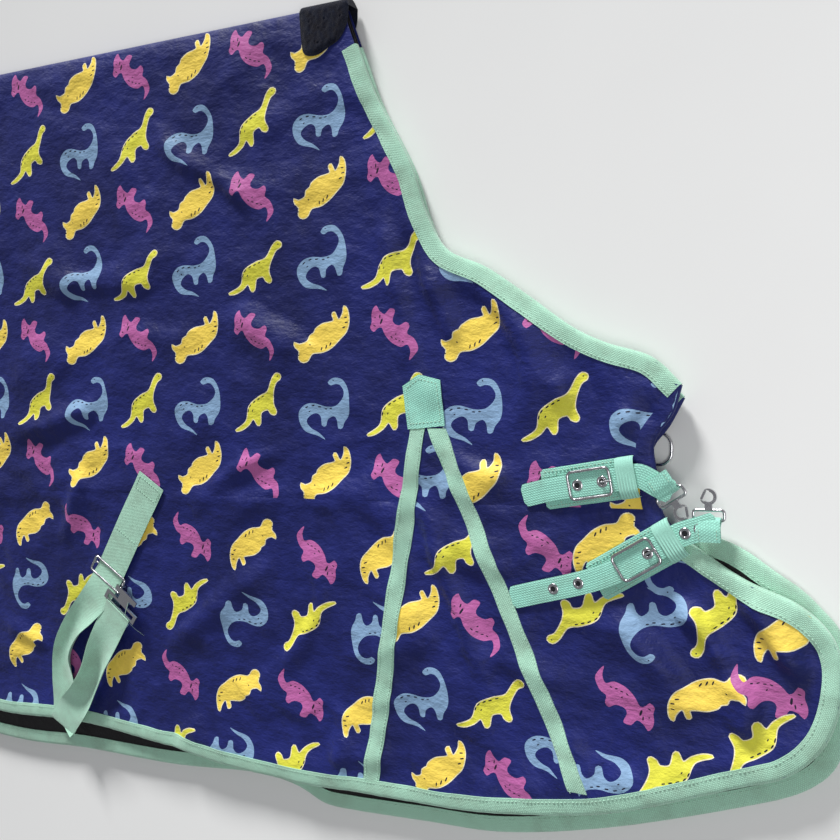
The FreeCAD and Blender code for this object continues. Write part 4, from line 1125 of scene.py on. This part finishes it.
def edge_tape(name, line, body, node_name, upper_side, width=17.0, cloth=None):
    """Binding folded round a half's edge: C-shaped section that follows the cloth. With a cloth
    given it is the shell's own raw edge turned under, thinner and without stitches."""
    _, left, running = plan_frames(line)
    inward = -left
    thick = 0.9 if cloth else 1.3
    if upper_side:
        low_level, high = LINING_LOW, surface
    else:
        low_level, high = BOTTOM, None
    rings, widths = [], []
    across = [width, width - 4, 9.0, 3.0, 0.2, -1.5, -1.9, -1.5, 0.2, 3.0, 9.0, width - 4, width]
    for k in range(len(line)):
        pucker = 0.28 * math.sin(running[k] * 0.55) + 0.22 * math.sin(running[k] * 0.21 + 1.3)
        ring, wide = [], []

        def levels(inset):
            p = line[k] + inward[k] * max(inset, 0)
            if upper_side:
                return low_level, float(high(p[0], p[1]))
            base = BOTTOM + 0.6 * float(under_relief(p[0], p[1]))
            return base, LEFT_LINING_HIGH
        for j, inset in enumerate(across):
            low, top = levels(inset)
            if j == 6:
                z = (low + top) / 2
            elif j < 6:
                drop = (0.0, 0.0, 0.0, 0.15, 0.9, 2.6)[j]
                z = top + thick - drop + (pucker if upper_side else 0.3 * pucker)
            else:
                rise = (2.2, 0.7, 0.1, 0.0, 0.0, 0.0)[j - 7]
                z = low - thick + rise
            p = line[k] + inward[k] * inset
            ring.append((p[0], p[1], z))
            wide.append(inset if j <= 6 else -inset - 3)
        for inset, part in ((width, 0), (3.0, 0), (0.6, 0.5), (0.3, 1), (0.6, 1.5), (3.0, 2), (width, 2)):
            low, top = levels(inset)
            z = {0: low - 0.05, 0.5: low + 1.2, 1: (low + top) / 2, 1.5: top - 1.2, 2: top + 0.05}[part]
            p = line[k] + inward[k] * inset
            ring.append((p[0], p[1], z))
            wide.append(inset)
        rings.append(np.array(ring))
        widths.append(np.array(wide))
    tape = swept(name, rings, running, widths, [cloth or MINT], 62)
    if cloth:
        attach(tape, body, "printed_shell")
        return
    attach(tape, body, "mint_webbing", node_name)
    row = line + inward * (width - 3.2)
    if upper_side:
        stitch_row(body, row, lambda x, y: float(surface(x, y)) + thick)
    else:
        level_row(body, row, LEFT_LINING_HIGH + thick, 6.0, 2.9)


def run_between(edge, start, end):
    """Part of an edge between the points nearest to two given ones."""
    first = int(np.argmin(np.hypot(*(edge - np.array(start)).T)))
    last = int(np.argmin(np.hypot(*(edge - np.array(end)).T)))
    return edge[first:last + 1]


def even(line, spacing):
    _, _, running = plan_frames(line)
    marks = np.linspace(0, running[-1], max(2, int(running[-1] / spacing)))
    return np.column_stack([np.interp(marks, running, line[:, k]) for k in (0, 1)])


def build_bindings():
    for side, edge, body, upper in (("right", RIGHT_EDGE, "right_side", True),
                                    ("left", LEFT_EDGE, "root", False)):
        stretch = 1.0 if upper else STRETCH
        neck = run_between(edge, (15 if upper else 19, -43 * stretch), (379, -421 * stretch))
        lower = run_between(edge, (384, -573) if upper else (390, -571), (TAIL, -0.0))
        edge_tape("binding_neck_" + side, even(neck, 5.0), body, side + "_neck_binding", upper)
        edge_tape("binding_edge_" + side, even(lower, 7.0), body, side + "_edge_binding", upper)
        chest = run_between(edge, (379, -421 * stretch), (384, -573) if upper else (390, -571))
        edge_tape("turned_chest_edge_" + side, even(chest, 5.0), body, None, upper, 15.0, NAVY)


def flat_loop(points, spacing):
    loop = straight(list(points) + [points[0]], spacing)[:-1]
    area = np.sum(loop[:, 0] * np.roll(loop[:, 1], -1) - np.roll(loop[:, 0], -1) * loop[:, 1])
    return loop if area > 0 else loop[::-1]


def trim_corners(foot, stretch=1.0):
    half, end_depth = 10.2, -886.0
    top = np.array((gusset_x(foot, -470.0), -470.0))
    end_y = end_depth if foot is REAR_FOOT else end_depth + 40
    end = np.array((gusset_x(foot, end_y), end_y))
    return [np.array(p) * (1, stretch) for p in ((top[0] - half, top[1]), (top[0] + half, top[1]),
                                                 (end[0] + half, end[1]), (end[0] - half, end[1]))], top, end


def build_gusset_tapes():
    """Patch and the two flat tapes over the gusset seams, on both halves."""
    trim_level = TRIM_TOP

    def on_top(extra, crown):
        def place(x, y, depth):
            return np.column_stack([x, y, surface(x, y) + trim_level - 0.15 + extra - crown * depth])
        return place

    def underneath(extra):
        def place(x, y, depth):
            return np.column_stack([x, y, BOTTOM + 0.6 * under_relief(x, y) - 1.2 - extra + depth])
        return place

    for side, stretch, body in (("right", 1.0, "right_side"), ("left", STRETCH, "root")):
        for name, foot in (("rear", REAR_FOOT), ("front", FRONT_FOOT)):
            corners, top, end = trim_corners(foot, stretch)
            place = on_top(0.0, 1.0) if side == "right" else underneath(0.0)
            tape = sheet("gusset_tape_%s_%s" % (name, side), flat_loop(corners, 5.0), 5.5, place, 1.1, [MINT])
            tape_uv_along(tape, top, end)
            covered = [side + "_gusset_trims"] if name == "rear" else []
            attach(tape, body, "mint_webbing", *covered)
            if side == "right":
                run = (end - top) / np.linalg.norm(end - top)
                normal = np.array((-run[1], run[0]))
                for shift in (-7.6, 7.6):
                    row = straight([top + shift * normal, end + shift * normal], 5)
                    stitch_row(body, row, lambda x, y: float(surface(x, y)) + trim_level - 0.2)
        patch = [np.array(p) * (1, stretch) for p in PATCH]
        place = on_top(1.0, 1.0) if side == "right" else underneath(0.0)
        webbing_kind = TURQUOISE if side == "right" else MINT
        cap = sheet("gusset_patch_" + side, flat_loop(patch, 4.0), 5.0, place, 1.1, [webbing_kind])
        tape_uv_along(cap, patch[3], patch[0])
        attach(cap, body, "mint_webbing", side + "_gusset_patch")
        if side == "right":
            centre = np.mean(patch, axis=0)
            ring = [centre + (p - centre) * 0.82 for p in patch]
            stitch_row(body, straight(ring + [ring[0]], 4),
                       lambda x, y: float(surface(x, y)) + trim_level + 0.85)


def tape_uv_along(piece, start, end):
    """Turns a sheet's UV map so that u runs along a direction."""
    run = (np.asarray(end, float) - np.asarray(start, float))[:2]
    run /= np.linalg.norm(run)
    layer = piece.data.uv_layers["flat"].data
    flat = np.empty(len(layer) * 2, dtype=np.float32)
    layer.foreach_get("uv", flat)
    flat = flat.reshape(-1, 2)
    turned = np.column_stack([flat @ run, flat @ np.array((-run[1], run[0]))])
    layer.foreach_set("uv", turned.ravel().astype(np.float32))


# ---------------------------------------------------------------- webbing and hardware


# Width and thickness of each run of webbing.
WEBBING = {"backing": (42.0, 1.7), "chape": (23.5, 1.2), "billet": (24.0, 1.5), "loop": (23.0, 1.3),
           "keeper": (19.0, 1.2), "surcingle": (46.0, 1.5), "ring_tab": (24.0, 1.2),
           "socket_tab": (46.0, 1.2)}


def ribbon(name, path, width, thickness, sideways, materials, cup=None, closed_end=0.0):
    """Webbing along a 3-D path. sideways gives the width direction at each point; cup bends it
    across its width, in radians of arc; widths narrow at a rounded end over closed_end."""
    path = np.asarray(path, float)
    ahead = np.gradient(path, axis=0)
    ahead /= np.maximum(np.linalg.norm(ahead, axis=1), 1e-9)[:, None]
    running = np.concatenate([[0], np.cumsum(np.linalg.norm(path[1:] - path[:-1], axis=1))])
    steps = np.linspace(-1, 1, 9)
    rings, flats = [], []
    for k, centre in enumerate(path):
        side = np.asarray(sideways[k], float)
        side = side - ahead[k] * np.dot(side, ahead[k])
        side /= np.linalg.norm(side)
        up = np.cross(ahead[k], side)
        half = width / 2
        if closed_end:
            for room in (running[k], running[-1] - running[k]):
                if room < closed_end:
                    rounding = math.sqrt(max(0.0, closed_end ** 2 - (closed_end - room) ** 2))
                    half = min(half, width / 2 - closed_end + rounding)
        bend = cup[k] if cup is not None else 0.0
        outer, inner = [], []
        for t in steps:
            if abs(bend) > 1e-3:
                radius = half / bend
                offset_side, offset_up = radius * math.sin(t * bend), radius * (1 - math.cos(t * bend))
                normal = np.array((-math.sin(t * bend), math.cos(t * bend)))
            else:
                offset_side, offset_up, normal = t * half, 0.0, np.array((0.0, 1.0))
            edge = 0.5 - 0.28 * (abs(t) > 0.9)
            for store, sign in ((outer, 1), (inner, -1)):
                s = offset_side + sign * thickness * edge * normal[0]
                u = offset_up + sign * thickness * edge * normal[1]
                store.append(centre + side * s + up * u)
        rings.append(np.array(outer + inner[::-1]))
        flats.append(np.concatenate([steps * half, steps[::-1] * half]))
    made = swept(name, rings, running, flats, materials, 50)
    return made


def level_of(strap):
    """Heights of the chest strap's parts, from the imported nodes."""
    name = strap["name"]
    return {"backing": cad(name + "_backing")[0][2], "bar": cad(name + "_tongue")[0][2] + 1.2,
            "billet": (cad(name + "_eyelets")[0][2] + 0.7), "keeper": cad(name + "_keeper")[1][2]}


def lay_strap(plan, heights):
    """3-D path over plan points with given heights, evenly spaced and smoothed."""
    both = np.column_stack([np.asarray(plan, float), np.asarray(heights, float)])
    return smooth_line(both, 3.0)


def sideways_of(path):
    ahead = np.gradient(path, axis=0)
    side = np.cross((0, 0, 1.0), ahead)
    return side / np.maximum(np.linalg.norm(side, axis=1), 1e-9)[:, None]


def torus_ring(centre, normal, radius, tube, squash=1.0, steps=20, around=8):
    """Points and faces of a ring, for eyelets."""
    normal = np.asarray(normal, float) / np.linalg.norm(normal)
    side = np.cross(normal, (1.0, 0.0, 0.0))
    side /= np.linalg.norm(side)
    other = np.cross(normal, side)
    verts, faces = [], []
    for i in range(steps):
        a = 2 * math.pi * i / steps
        out = side * math.cos(a) + other * math.sin(a)
        for j in range(around):
            b = 2 * math.pi * j / around
            verts.append(centre + out * (radius + tube * math.cos(b)) + normal * tube * squash * math.sin(b))
    for i in range(steps):
        for j in range(around):
            k, m = (i + 1) % steps, (j + 1) % around
            faces.append((i * around + j, k * around + j, k * around + m, i * around + m))
    return verts, faces


def disc(centre, normal, radius, thick):
    steps = 20
    normal = np.asarray(normal, float) / np.linalg.norm(normal)
    side = np.cross(normal, (1.0, 0.0, 0.0))
    side /= np.linalg.norm(side)
    other = np.cross(normal, side)
    verts = []
    for level in (-thick / 2, thick / 2):
        for i in range(steps):
            a = 2 * math.pi * i / steps
            verts.append(centre + radius * (side * math.cos(a) + other * math.sin(a)) + normal * level)
    faces = [tuple(range(steps))[::-1], tuple(range(steps, 2 * steps))]
    faces += [(i, (i + 1) % steps, (i + 1) % steps + steps, i + steps) for i in range(steps)]
    return verts, faces


def joined(name, parts, material):
    verts, faces = [], []
    for v, f in parts:
        base = len(verts)
        verts += list(v)
        faces += [tuple(i + base for i in face) for face in f]
    made = finish_mesh(name, np.array(verts), faces, [material], None, None, 40)
    bpy.context.view_layer.objects.active = made
    mesh = made.data
    work = bmesh.new()
    work.from_mesh(mesh)
    bmesh.ops.recalc_face_normals(work, faces=work.faces)
    work.to_mesh(mesh)
    work.free()
    return made


def build_chest_strap(strap):
    """Backing, chape, billet, snap loop, keeper, eyelets and stitches of one chest strap."""
    name = strap["name"]
    levels = level_of(strap)
    angle = math.radians(strap["angle"])
    run3 = np.array((math.cos(angle), math.sin(angle), 0.0))
    across3 = np.array((-math.sin(angle), math.cos(angle), 0.0))
    centre = np.append(np.array(strap["buckle"]), 0.0)

    def at(along, across, z):
        return centre + run3 * along + across3 * across + np.array((0, 0, z))

    base = levels["backing"] + 0.85
    end = 45.0
    backing_path = np.array([at(a, 0, base + 0.5 * math.sin(a * 0.09 + 1) + 0.15)
                             for a in np.arange(-53, end + 1, 3.0)])
    backing = ribbon(name + "_strap_backing", backing_path, *WEBBING["backing"],
                     [across3] * len(backing_path), [TURQUOISE], closed_end=3.0)
    attach(backing, "right_side", "mint_webbing", name + "_backing")
    for row in (-18.0, 18.0):
        line = np.array([at(a, row, 0)[:2] for a in np.arange(-50, end - 2, 3.0)])
        level_row("right_side", line, base + 0.95)
    for along in (-50.0, -36.0, 43.0):
        line = np.array([at(along, b, 0)[:2] for b in np.arange(-17, 18, 3.0)])
        level_row("right_side", line, base + 0.95)

    bar_z = cad(name + "_buckle_frame")[0][2] + 1.5
    chape_z = cad(name + "_chape")[0][2] + 0.6
    chape_path = smooth_line(np.array([at(-34, 0, chape_z), at(-22, 0, chape_z + 0.1),
                                       at(-10, 0, chape_z + 0.2), at(-4.5, 0, bar_z + 0.9)]), 2.0)
    chape = ribbon(name + "_strap_chape", chape_path, *WEBBING["chape"], [across3] * len(chape_path),
                   [TURQUOISE])
    attach(chape, "right_side", "mint_webbing", name + "_chape")
    for across in (-9.5, 9.5):
        line = np.array([at(a, across, 0)[:2] for a in np.arange(-33, -13, 2.0)])
        level_row("right_side", line, chape_z + 0.9, 3.8, 2.5)

    billet_z = levels["billet"]
    tip, rear = np.array(strap["tip"]), on_strap(strap, -40.0)
    front, eye = on_strap(strap, 52.0), np.array(strap["eye"])
    heading = math.radians(strap["heading"])
    forward = np.array((math.cos(heading), math.sin(heading)))
    far = eye - 5.0 * forward
    past = (far - front) / np.linalg.norm(far - front)
    stop = far + past * 9.0
    span = np.linalg.norm(rear - tip)
    plan = [tip, tip + (rear - tip) * min(0.5, 26 / span), tip + (rear - tip) * 0.8, on_strap(strap, -26.0),
            on_strap(strap, -8.0), on_strap(strap, 12.0), on_strap(strap, 40.0), front,
            front + (stop - front) * 0.55, stop]
    low = TOP + 2.2
    heights = [low, low + 0.8, billet_z - 1.6, billet_z - 0.2, billet_z, billet_z, billet_z, billet_z - 0.2,
               billet_z - 0.2, billet_z - 1.3]
    path = lay_strap(plan, heights)
    billet = ribbon(name + "_strap_billet", path, *WEBBING["billet"], sideways_of(path), [TURQUOISE],
                    closed_end=4.5)
    attach(billet, "right_side", "mint_webbing", name + "_billet")

    eye_z = strap["eye_z"]
    loop_plan = [(-20.0, billet_z + 1.9), (-9.0, billet_z + 2.1), (-3.2, billet_z + 0.6),
                 (0.8, (billet_z + eye_z) / 2 + 2.0), (2.7, eye_z + 0.6), (1.9, eye_z - 1.9),
                 (0.0, eye_z - 2.7), (-1.9, eye_z - 1.9), (-2.9, eye_z + 0.8),
                 (-6.0, (billet_z + eye_z) / 2 + 1.2), (-12.0, billet_z - 2.0), (-20.0, billet_z - 2.3)]
    loop = np.array([(eye[0] + forward[0] * s, eye[1] + forward[1] * s, z) for s, z in loop_plan])
    loop = smooth_line(loop, 1.6)
    wide = np.array((-forward[1], forward[0], 0.0))
    band = ribbon(name + "_strap_loop", loop, *WEBBING["loop"], [wide] * len(loop), [TURQUOISE])
    attach(band, "right_side", "mint_webbing")
    for shift in (-8.5, 8.5):
        line = np.array([eye + forward * s + wide[:2] * shift for s in np.arange(-18, -6, 2.0)])
        level_row("right_side", line, billet_z + 2.75, 3.6, 2.4)

    half = 20.4
    top = levels["keeper"] + 0.5
    foot = base + 0.6
    for_band = [(-half, foot), (-half - 0.3, foot + 3.0), (-half + 2.6, top - 2.0), (-13.0, top - 0.3),
                (-6, top), (6, top), (13.0, top - 0.3), (half - 2.6, top - 2.0), (half + 0.3, foot + 3.0),
                (half, foot)]
    keeper_path = smooth_line(np.array([at(38.5, b, z) for b, z in for_band]), 1.8)
    keeper = ribbon(name + "_strap_keeper", keeper_path, *WEBBING["keeper"], [run3] * len(keeper_path),
                    [ELASTIC])
    attach(keeper, "right_side", "elastic", name + "_keeper")

    rings, holes = [], []
    ahead = np.gradient(path, axis=0)
    for along in strap["holes"]:
        if along < -40:
            spot = rear + (tip - rear) * (-40.0 - along) / span
        elif along > 52:
            spot = front + (far - front) * (along - 52.0) / np.linalg.norm(far - front)
        else:
            spot = on_strap(strap, along)
        k = int(np.argmin(np.hypot(path[:, 0] - spot[0], path[:, 1] - spot[1])))
        normal = np.cross(ahead[k], sideways_of(path)[k])
        normal *= math.copysign(1.0, normal[2])
        normal /= np.linalg.norm(normal)
        spot3 = np.array((spot[0], spot[1], path[k, 2])) + normal * 0.75
        rings.append(torus_ring(spot3, normal, 4.5, 1.35, 0.5, 24))
        rings.append(torus_ring(spot3 - normal * 0.2, normal, 3.1, 0.55, 1.0, 24, 6))
        # Each eyelet also gets a near-black disc inside it: painted shade of the hole.
        holes.append(disc(spot3 - normal * 0.1, normal, 3.0, 0.5))
    attach(joined(name + "_strap_eyelets", rings, METAL), "right_side", "bright_metal", name + "_eyelets")
    attach(joined(name + "_eyelet_hole_shade", holes, HOLE_SHADE), "right_side", "mint_webbing")


def build_surcingle(name, shift):
    """Wide belly strap: sewn end, run to the slider, hanging loop and return leg to the T hook."""
    move = np.array((shift, 0.0))
    body = name + "_surcingle"
    slide_z = (cad(name + "_slider")[0][2] + cad(name + "_slider")[1][2]) / 2
    hook_z = (cad(name + "_t_hook")[0][2] + cad(name + "_t_hook")[1][2]) / 2
    start, middle = SURCINGLE_TOP + move, SLIDER + move
    hook = HOOK + move
    down = (middle - start) / np.linalg.norm(middle - start)
    low = TOP + 1.4
    sewn = [(start, low), (start + down * 24, low + 0.1), (start + down * 60, low + 1.6),
            (middle - down * 26, slide_z - 0.6), (middle, slide_z)]
    lean = math.degrees(math.atan2(down[0], -down[1]))
    rows = [(point[0], point[1], level, lean, 0.0, 0.0) for point, level in sewn]
    rows += [(x + shift, y, low + rise, turn, tilt, cup)
             for x, y, rise, turn, tilt, cup in SURCINGLE_LEG + SURCINGLE_RETURN]
    last = math.degrees(math.atan2(-RETURN_RUN[0], RETURN_RUN[1]))
    for back, level in ((22.0, hook_z + 0.8), (6.0, hook_z + 1.2), (0.5, hook_z + 2.3)):
        rows.append((*(hook - RETURN_RUN * back), level, last, 0.0, 0.0))
    rows = np.array(rows, float)
    rows[:, 3] = np.radians(rows[:, 3])
    rows = smooth_line(rows, 1.8)
    turn, tilt = rows[:, 3], rows[:, 4]
    side = np.column_stack([np.cos(turn) * np.cos(tilt), np.sin(turn) * np.cos(tilt), np.sin(tilt)])
    strap = ribbon(name + "_surcingle_webbing", rows[:, :3], *WEBBING["surcingle"], side, [MINT],
                   cup=rows[:, 5])
    attach(strap, body, "mint_webbing", name + "_surcingle")
    across = np.array((-down[1], down[0]))
    for along in (5.0, 22.0, 88.0):
        line = np.array([start + down * along + across * b for b in np.arange(-20, 21, 3.0)])
        level = low + 0.95 if along < 60 else slide_z + 0.1
        level_row(body, line, level)
    for b in (-19.0, 19.0):
        line = np.array([start + down * a + across * b for a in np.arange(5, 23, 3.0)])
        level_row(body, line, low + 0.95)
    if name == "front":
        thread = [(hook[0] + 18, hook[1] + 12, hook_z + 0.6), (hook[0] + 12, hook[1] - 8, hook_z + 1.5),
                  (hook[0] + 24, hook[1] - 22, hook_z - 1.0), (hook[0] + 38, hook[1] - 32, hook_z - 5.0)]
        fibre = smooth_line(np.array(thread), 3.0)
        rings = []
        for point in fibre:
            rings.append(np.array([point + (0.35 * math.cos(a), 0.2 * math.sin(a), 0.3 * math.sin(a))
                                   for a in np.radians(np.arange(0, 360, 60))]))
        run = np.arange(len(fibre)) * 3.0
        loose = swept("front_surcingle_loose_thread", rings, run, [np.zeros(6)] * len(fibre), [THREAD])
        attach(loose, body, "mint_webbing")


def hooked_tab(name, eye, loop, direction, kind, *nodes):
    """Webbing tab that runs along a direction and turns back round a fitting's eye."""
    path = smooth_line(np.array([(eye[0] + direction[0] * s, eye[1] + direction[1] * s, max(eye[2] + z, 0.7))
                                 for s, z in loop]), 2.0)
    side = np.array((direction[1], direction[0], 0.0))
    tab = ribbon(name, path, *WEBBING[name.split("_", 1)[1]], [side] * len(path), [kind])
    attach(tab, "root", "mint_webbing", *nodes)


def build_tabs():
    """Webbing tabs under the left half that hold the chest rings and the socket plates."""
    for name, nodes in (("upper", ["chest_ring_tabs"]), ("lower", [])):
        low, high = cad(name + "_chest_ring")
        eye = (low[0] + 1.6, (low[1] + high[1]) / 2, (low[2] + high[2]) / 2)
        loop = [(-45, 1.6), (-20, 1.7), (-6, 1.9), (0, 2.35), (2.3, 0.0), (0, -2.2), (-4, -1.6)]
        hooked_tab(name + "_ring_tab", eye, loop, (1.0, 0.0), TURQUOISE, *nodes)
    for name, nodes in (("front", ["socket_tabs"]), ("rear", [])):
        low, high = cad(name + "_socket_plate")
        eye = ((low[0] + high[0]) / 2, high[1] - 1.6, (low[2] + high[2]) / 2)
        loop = [(66, 1.2), (30, 1.3), (8, 1.8), (0, 2.4), (-2.4, 0.0), (0, -2.2), (5, -1.6)]
        hooked_tab(name + "_socket_tab", eye, loop, (0.0, 1.0), MINT, *nodes)


def build_fleece():
    """Fleece pad sewn over the neck edge at the withers, crossing the fold."""
    low, high = cad("right_wither_fleece")
    reach = -low[1]
    outline = [(low[0], 0), (low[0] + 2, -30), (low[0] + 6, -reach + 3), (low[0] + 22, -reach),
               (-18, -reach + 6), (-2, -reach + 14), (high[0], -18), (high[0] + 2, 0)]
    right = smooth_line(outline, 3.0)
    left = np.column_stack([right[:, 0], FOLD_ARC - right[:, 1]])
    whole = np.vstack([right, left[::-1]])

    def lump(x, y):
        return (0.8 * np.sin(x * 0.9 + 2 * np.sin(y * 0.35)) * np.sin(y * 0.8 + 1.7 * np.sin(x * 0.3))
                + 0.5 * np.sin(x * 1.9 + y * 0.7) * np.sin(y * 2.1 - x * 0.4))

    def on_right(x, y, depth):
        edge = ease(distance(x, y, right)[0] / 7)
        return np.column_stack([x, y, TOP + 0.2 + (2.6 * (0.35 + 0.65 * edge) + lump(x, y) * edge)
                                * (1 - np.clip(depth, 0, 1))])

    def on_left(x, y, depth):
        edge = ease(distance(x, y, right)[0] / 7)
        return np.column_stack([x, y, BOTTOM - 0.2 - (2.2 * (0.35 + 0.65 * edge) + 0.6 * lump(x, y) * edge)
                                * (1 - np.clip(depth, 0, 1))])

    place = unrolled_place(on_right, on_left, 9.5)
    fleece = sheet("wither_fleece", whole, 2.6, place, 1.0, [FLEECE])
    attach(fleece, None, "fleece", "right_wither_fleece", "left_wither_fleece")
    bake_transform(fleece)


def dress_hardware():
    """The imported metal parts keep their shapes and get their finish."""
    metal = ("buckle_frame", "tongue", "snap", "gate", "chest_ring", "slider", "t_hook", "socket_plate")
    for name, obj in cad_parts.items():
        if any(word in name for word in metal) and "tabs" not in name:
            obj.data.materials.clear()
            obj.data.materials.append(METAL)


# ---------------------------------------------------------------- the set


# Lamp places, aims and sizes in metres, the key's spread in radians. The key stands low beyond the
# fold, so the creases cast shadows. The camera's place counts from the shell's top, its turns in degrees.
SKY, SKY_STRENGTH = (0.93, 0.95, 1.0, 1), 0.24
KEY_FROM, KEY_AIM, KEY_ENERGY, KEY_SPREAD = (-0.75, 2.2, 0.95), (0.05, -0.5, 0), 4.3, 0.2
FILL_PLACE, FILL_AIM, FILL_SIZE, FILL_POWER = (1.3, -0.9, 2.0), (0.1, -0.5, 0), 1.2, 17
SENSOR_WIDTH, FOCAL_LENGTH = 36.0, 42.86
CAMERA_OVER_SHELL = (0.6152, -0.3848, 0.9704)
CAMERA_ROLL, CAMERA_LEAN, CAMERA_PITCH = -1.4, -28.2, 4.5


def build_floor():
    material, tree, paint = shader("floor_pale")
    where = node(tree, "TexCoord").outputs["Object"]
    tint = mix(tree, noise(tree, where, 2.5, 3.0), (0.80, 0.80, 0.79, 1), (0.86, 0.86, 0.85, 1))
    tree.links.new(tint, paint.inputs["Base Color"])
    paint.inputs["Roughness"].default_value = 0.85
    mesh = bpy.data.meshes.new("floor")
    reach = 9.0
    mesh.from_pydata([(-reach, -reach, 0), (reach, -reach, 0), (reach, reach, 0), (-reach, reach, 0)], [],
                     [(0, 1, 2, 3)])
    mesh.materials.append(material)
    floor = bpy.data.objects.new("floor", mesh)
    bpy.context.collection.objects.link(floor)


def area_light(name, place, aim, size, power):
    light = bpy.data.lights.new(name, "AREA")
    light.shape = "DISK"
    light.size = size
    light.energy = power
    made = bpy.data.objects.new(name, light)
    bpy.context.collection.objects.link(made)
    made.location = place
    made.rotation_euler = turned_to(place, aim)


def turned_to(place, aim):
    """Rotation that points a lamp at place towards aim."""
    return (Vector(aim) - Vector(place)).to_track_quat("-Z", "Y").to_euler()


def build_lights():
    world = bpy.data.worlds.new("studio")
    bpy.context.scene.world = world
    world.use_nodes = True
    sky = world.node_tree.nodes["Background"]
    sky.inputs[0].default_value = SKY
    sky.inputs[1].default_value = SKY_STRENGTH
    key = bpy.data.lights.new("key", "SUN")
    key.energy = KEY_ENERGY
    key.angle = KEY_SPREAD
    lamp = bpy.data.objects.new("key", key)
    bpy.context.collection.objects.link(lamp)
    lamp.rotation_euler = turned_to(KEY_FROM, KEY_AIM)
    area_light("fill", FILL_PLACE, FILL_AIM, FILL_SIZE, FILL_POWER)
    bpy.context.scene.view_settings.view_transform = "Standard"


def build_camera():
    """Camera at the photograph's viewing angle: above the chest, leaning towards the tail."""
    camera = bpy.data.cameras.new("camera")
    camera.sensor_width = SENSOR_WIDTH
    camera.lens = FOCAL_LENGTH
    camera.clip_start = 0.01
    made = bpy.data.objects.new("camera", camera)
    bpy.context.collection.objects.link(made)
    turn = (Matrix.Rotation(math.radians(CAMERA_ROLL), 3, "Z")
            @ Matrix.Rotation(math.radians(CAMERA_LEAN), 3, "Y")
            @ Matrix.Rotation(math.radians(CAMERA_PITCH), 3, "X")).transposed()
    x, y, over = CAMERA_OVER_SHELL
    made.matrix_world = Matrix.Translation((x, y, over + TOP * MM)) @ turn.to_4x4()
    bpy.context.scene.camera = made


for strap_name, strap_data in STRAPS.items():
    strap_data["name"] = strap_name
build_shell()
build_inside()
build_bindings()
build_gusset_tapes()
for strap_data in STRAPS.values():
    build_chest_strap(strap_data)
for surcingle_name, surcingle_shift in SURCINGLE_SHIFT.items():
    build_surcingle(surcingle_name, surcingle_shift)
build_tabs()
build_fleece()
build_stitches()
dress_hardware()
build_floor()
build_lights()
build_camera()
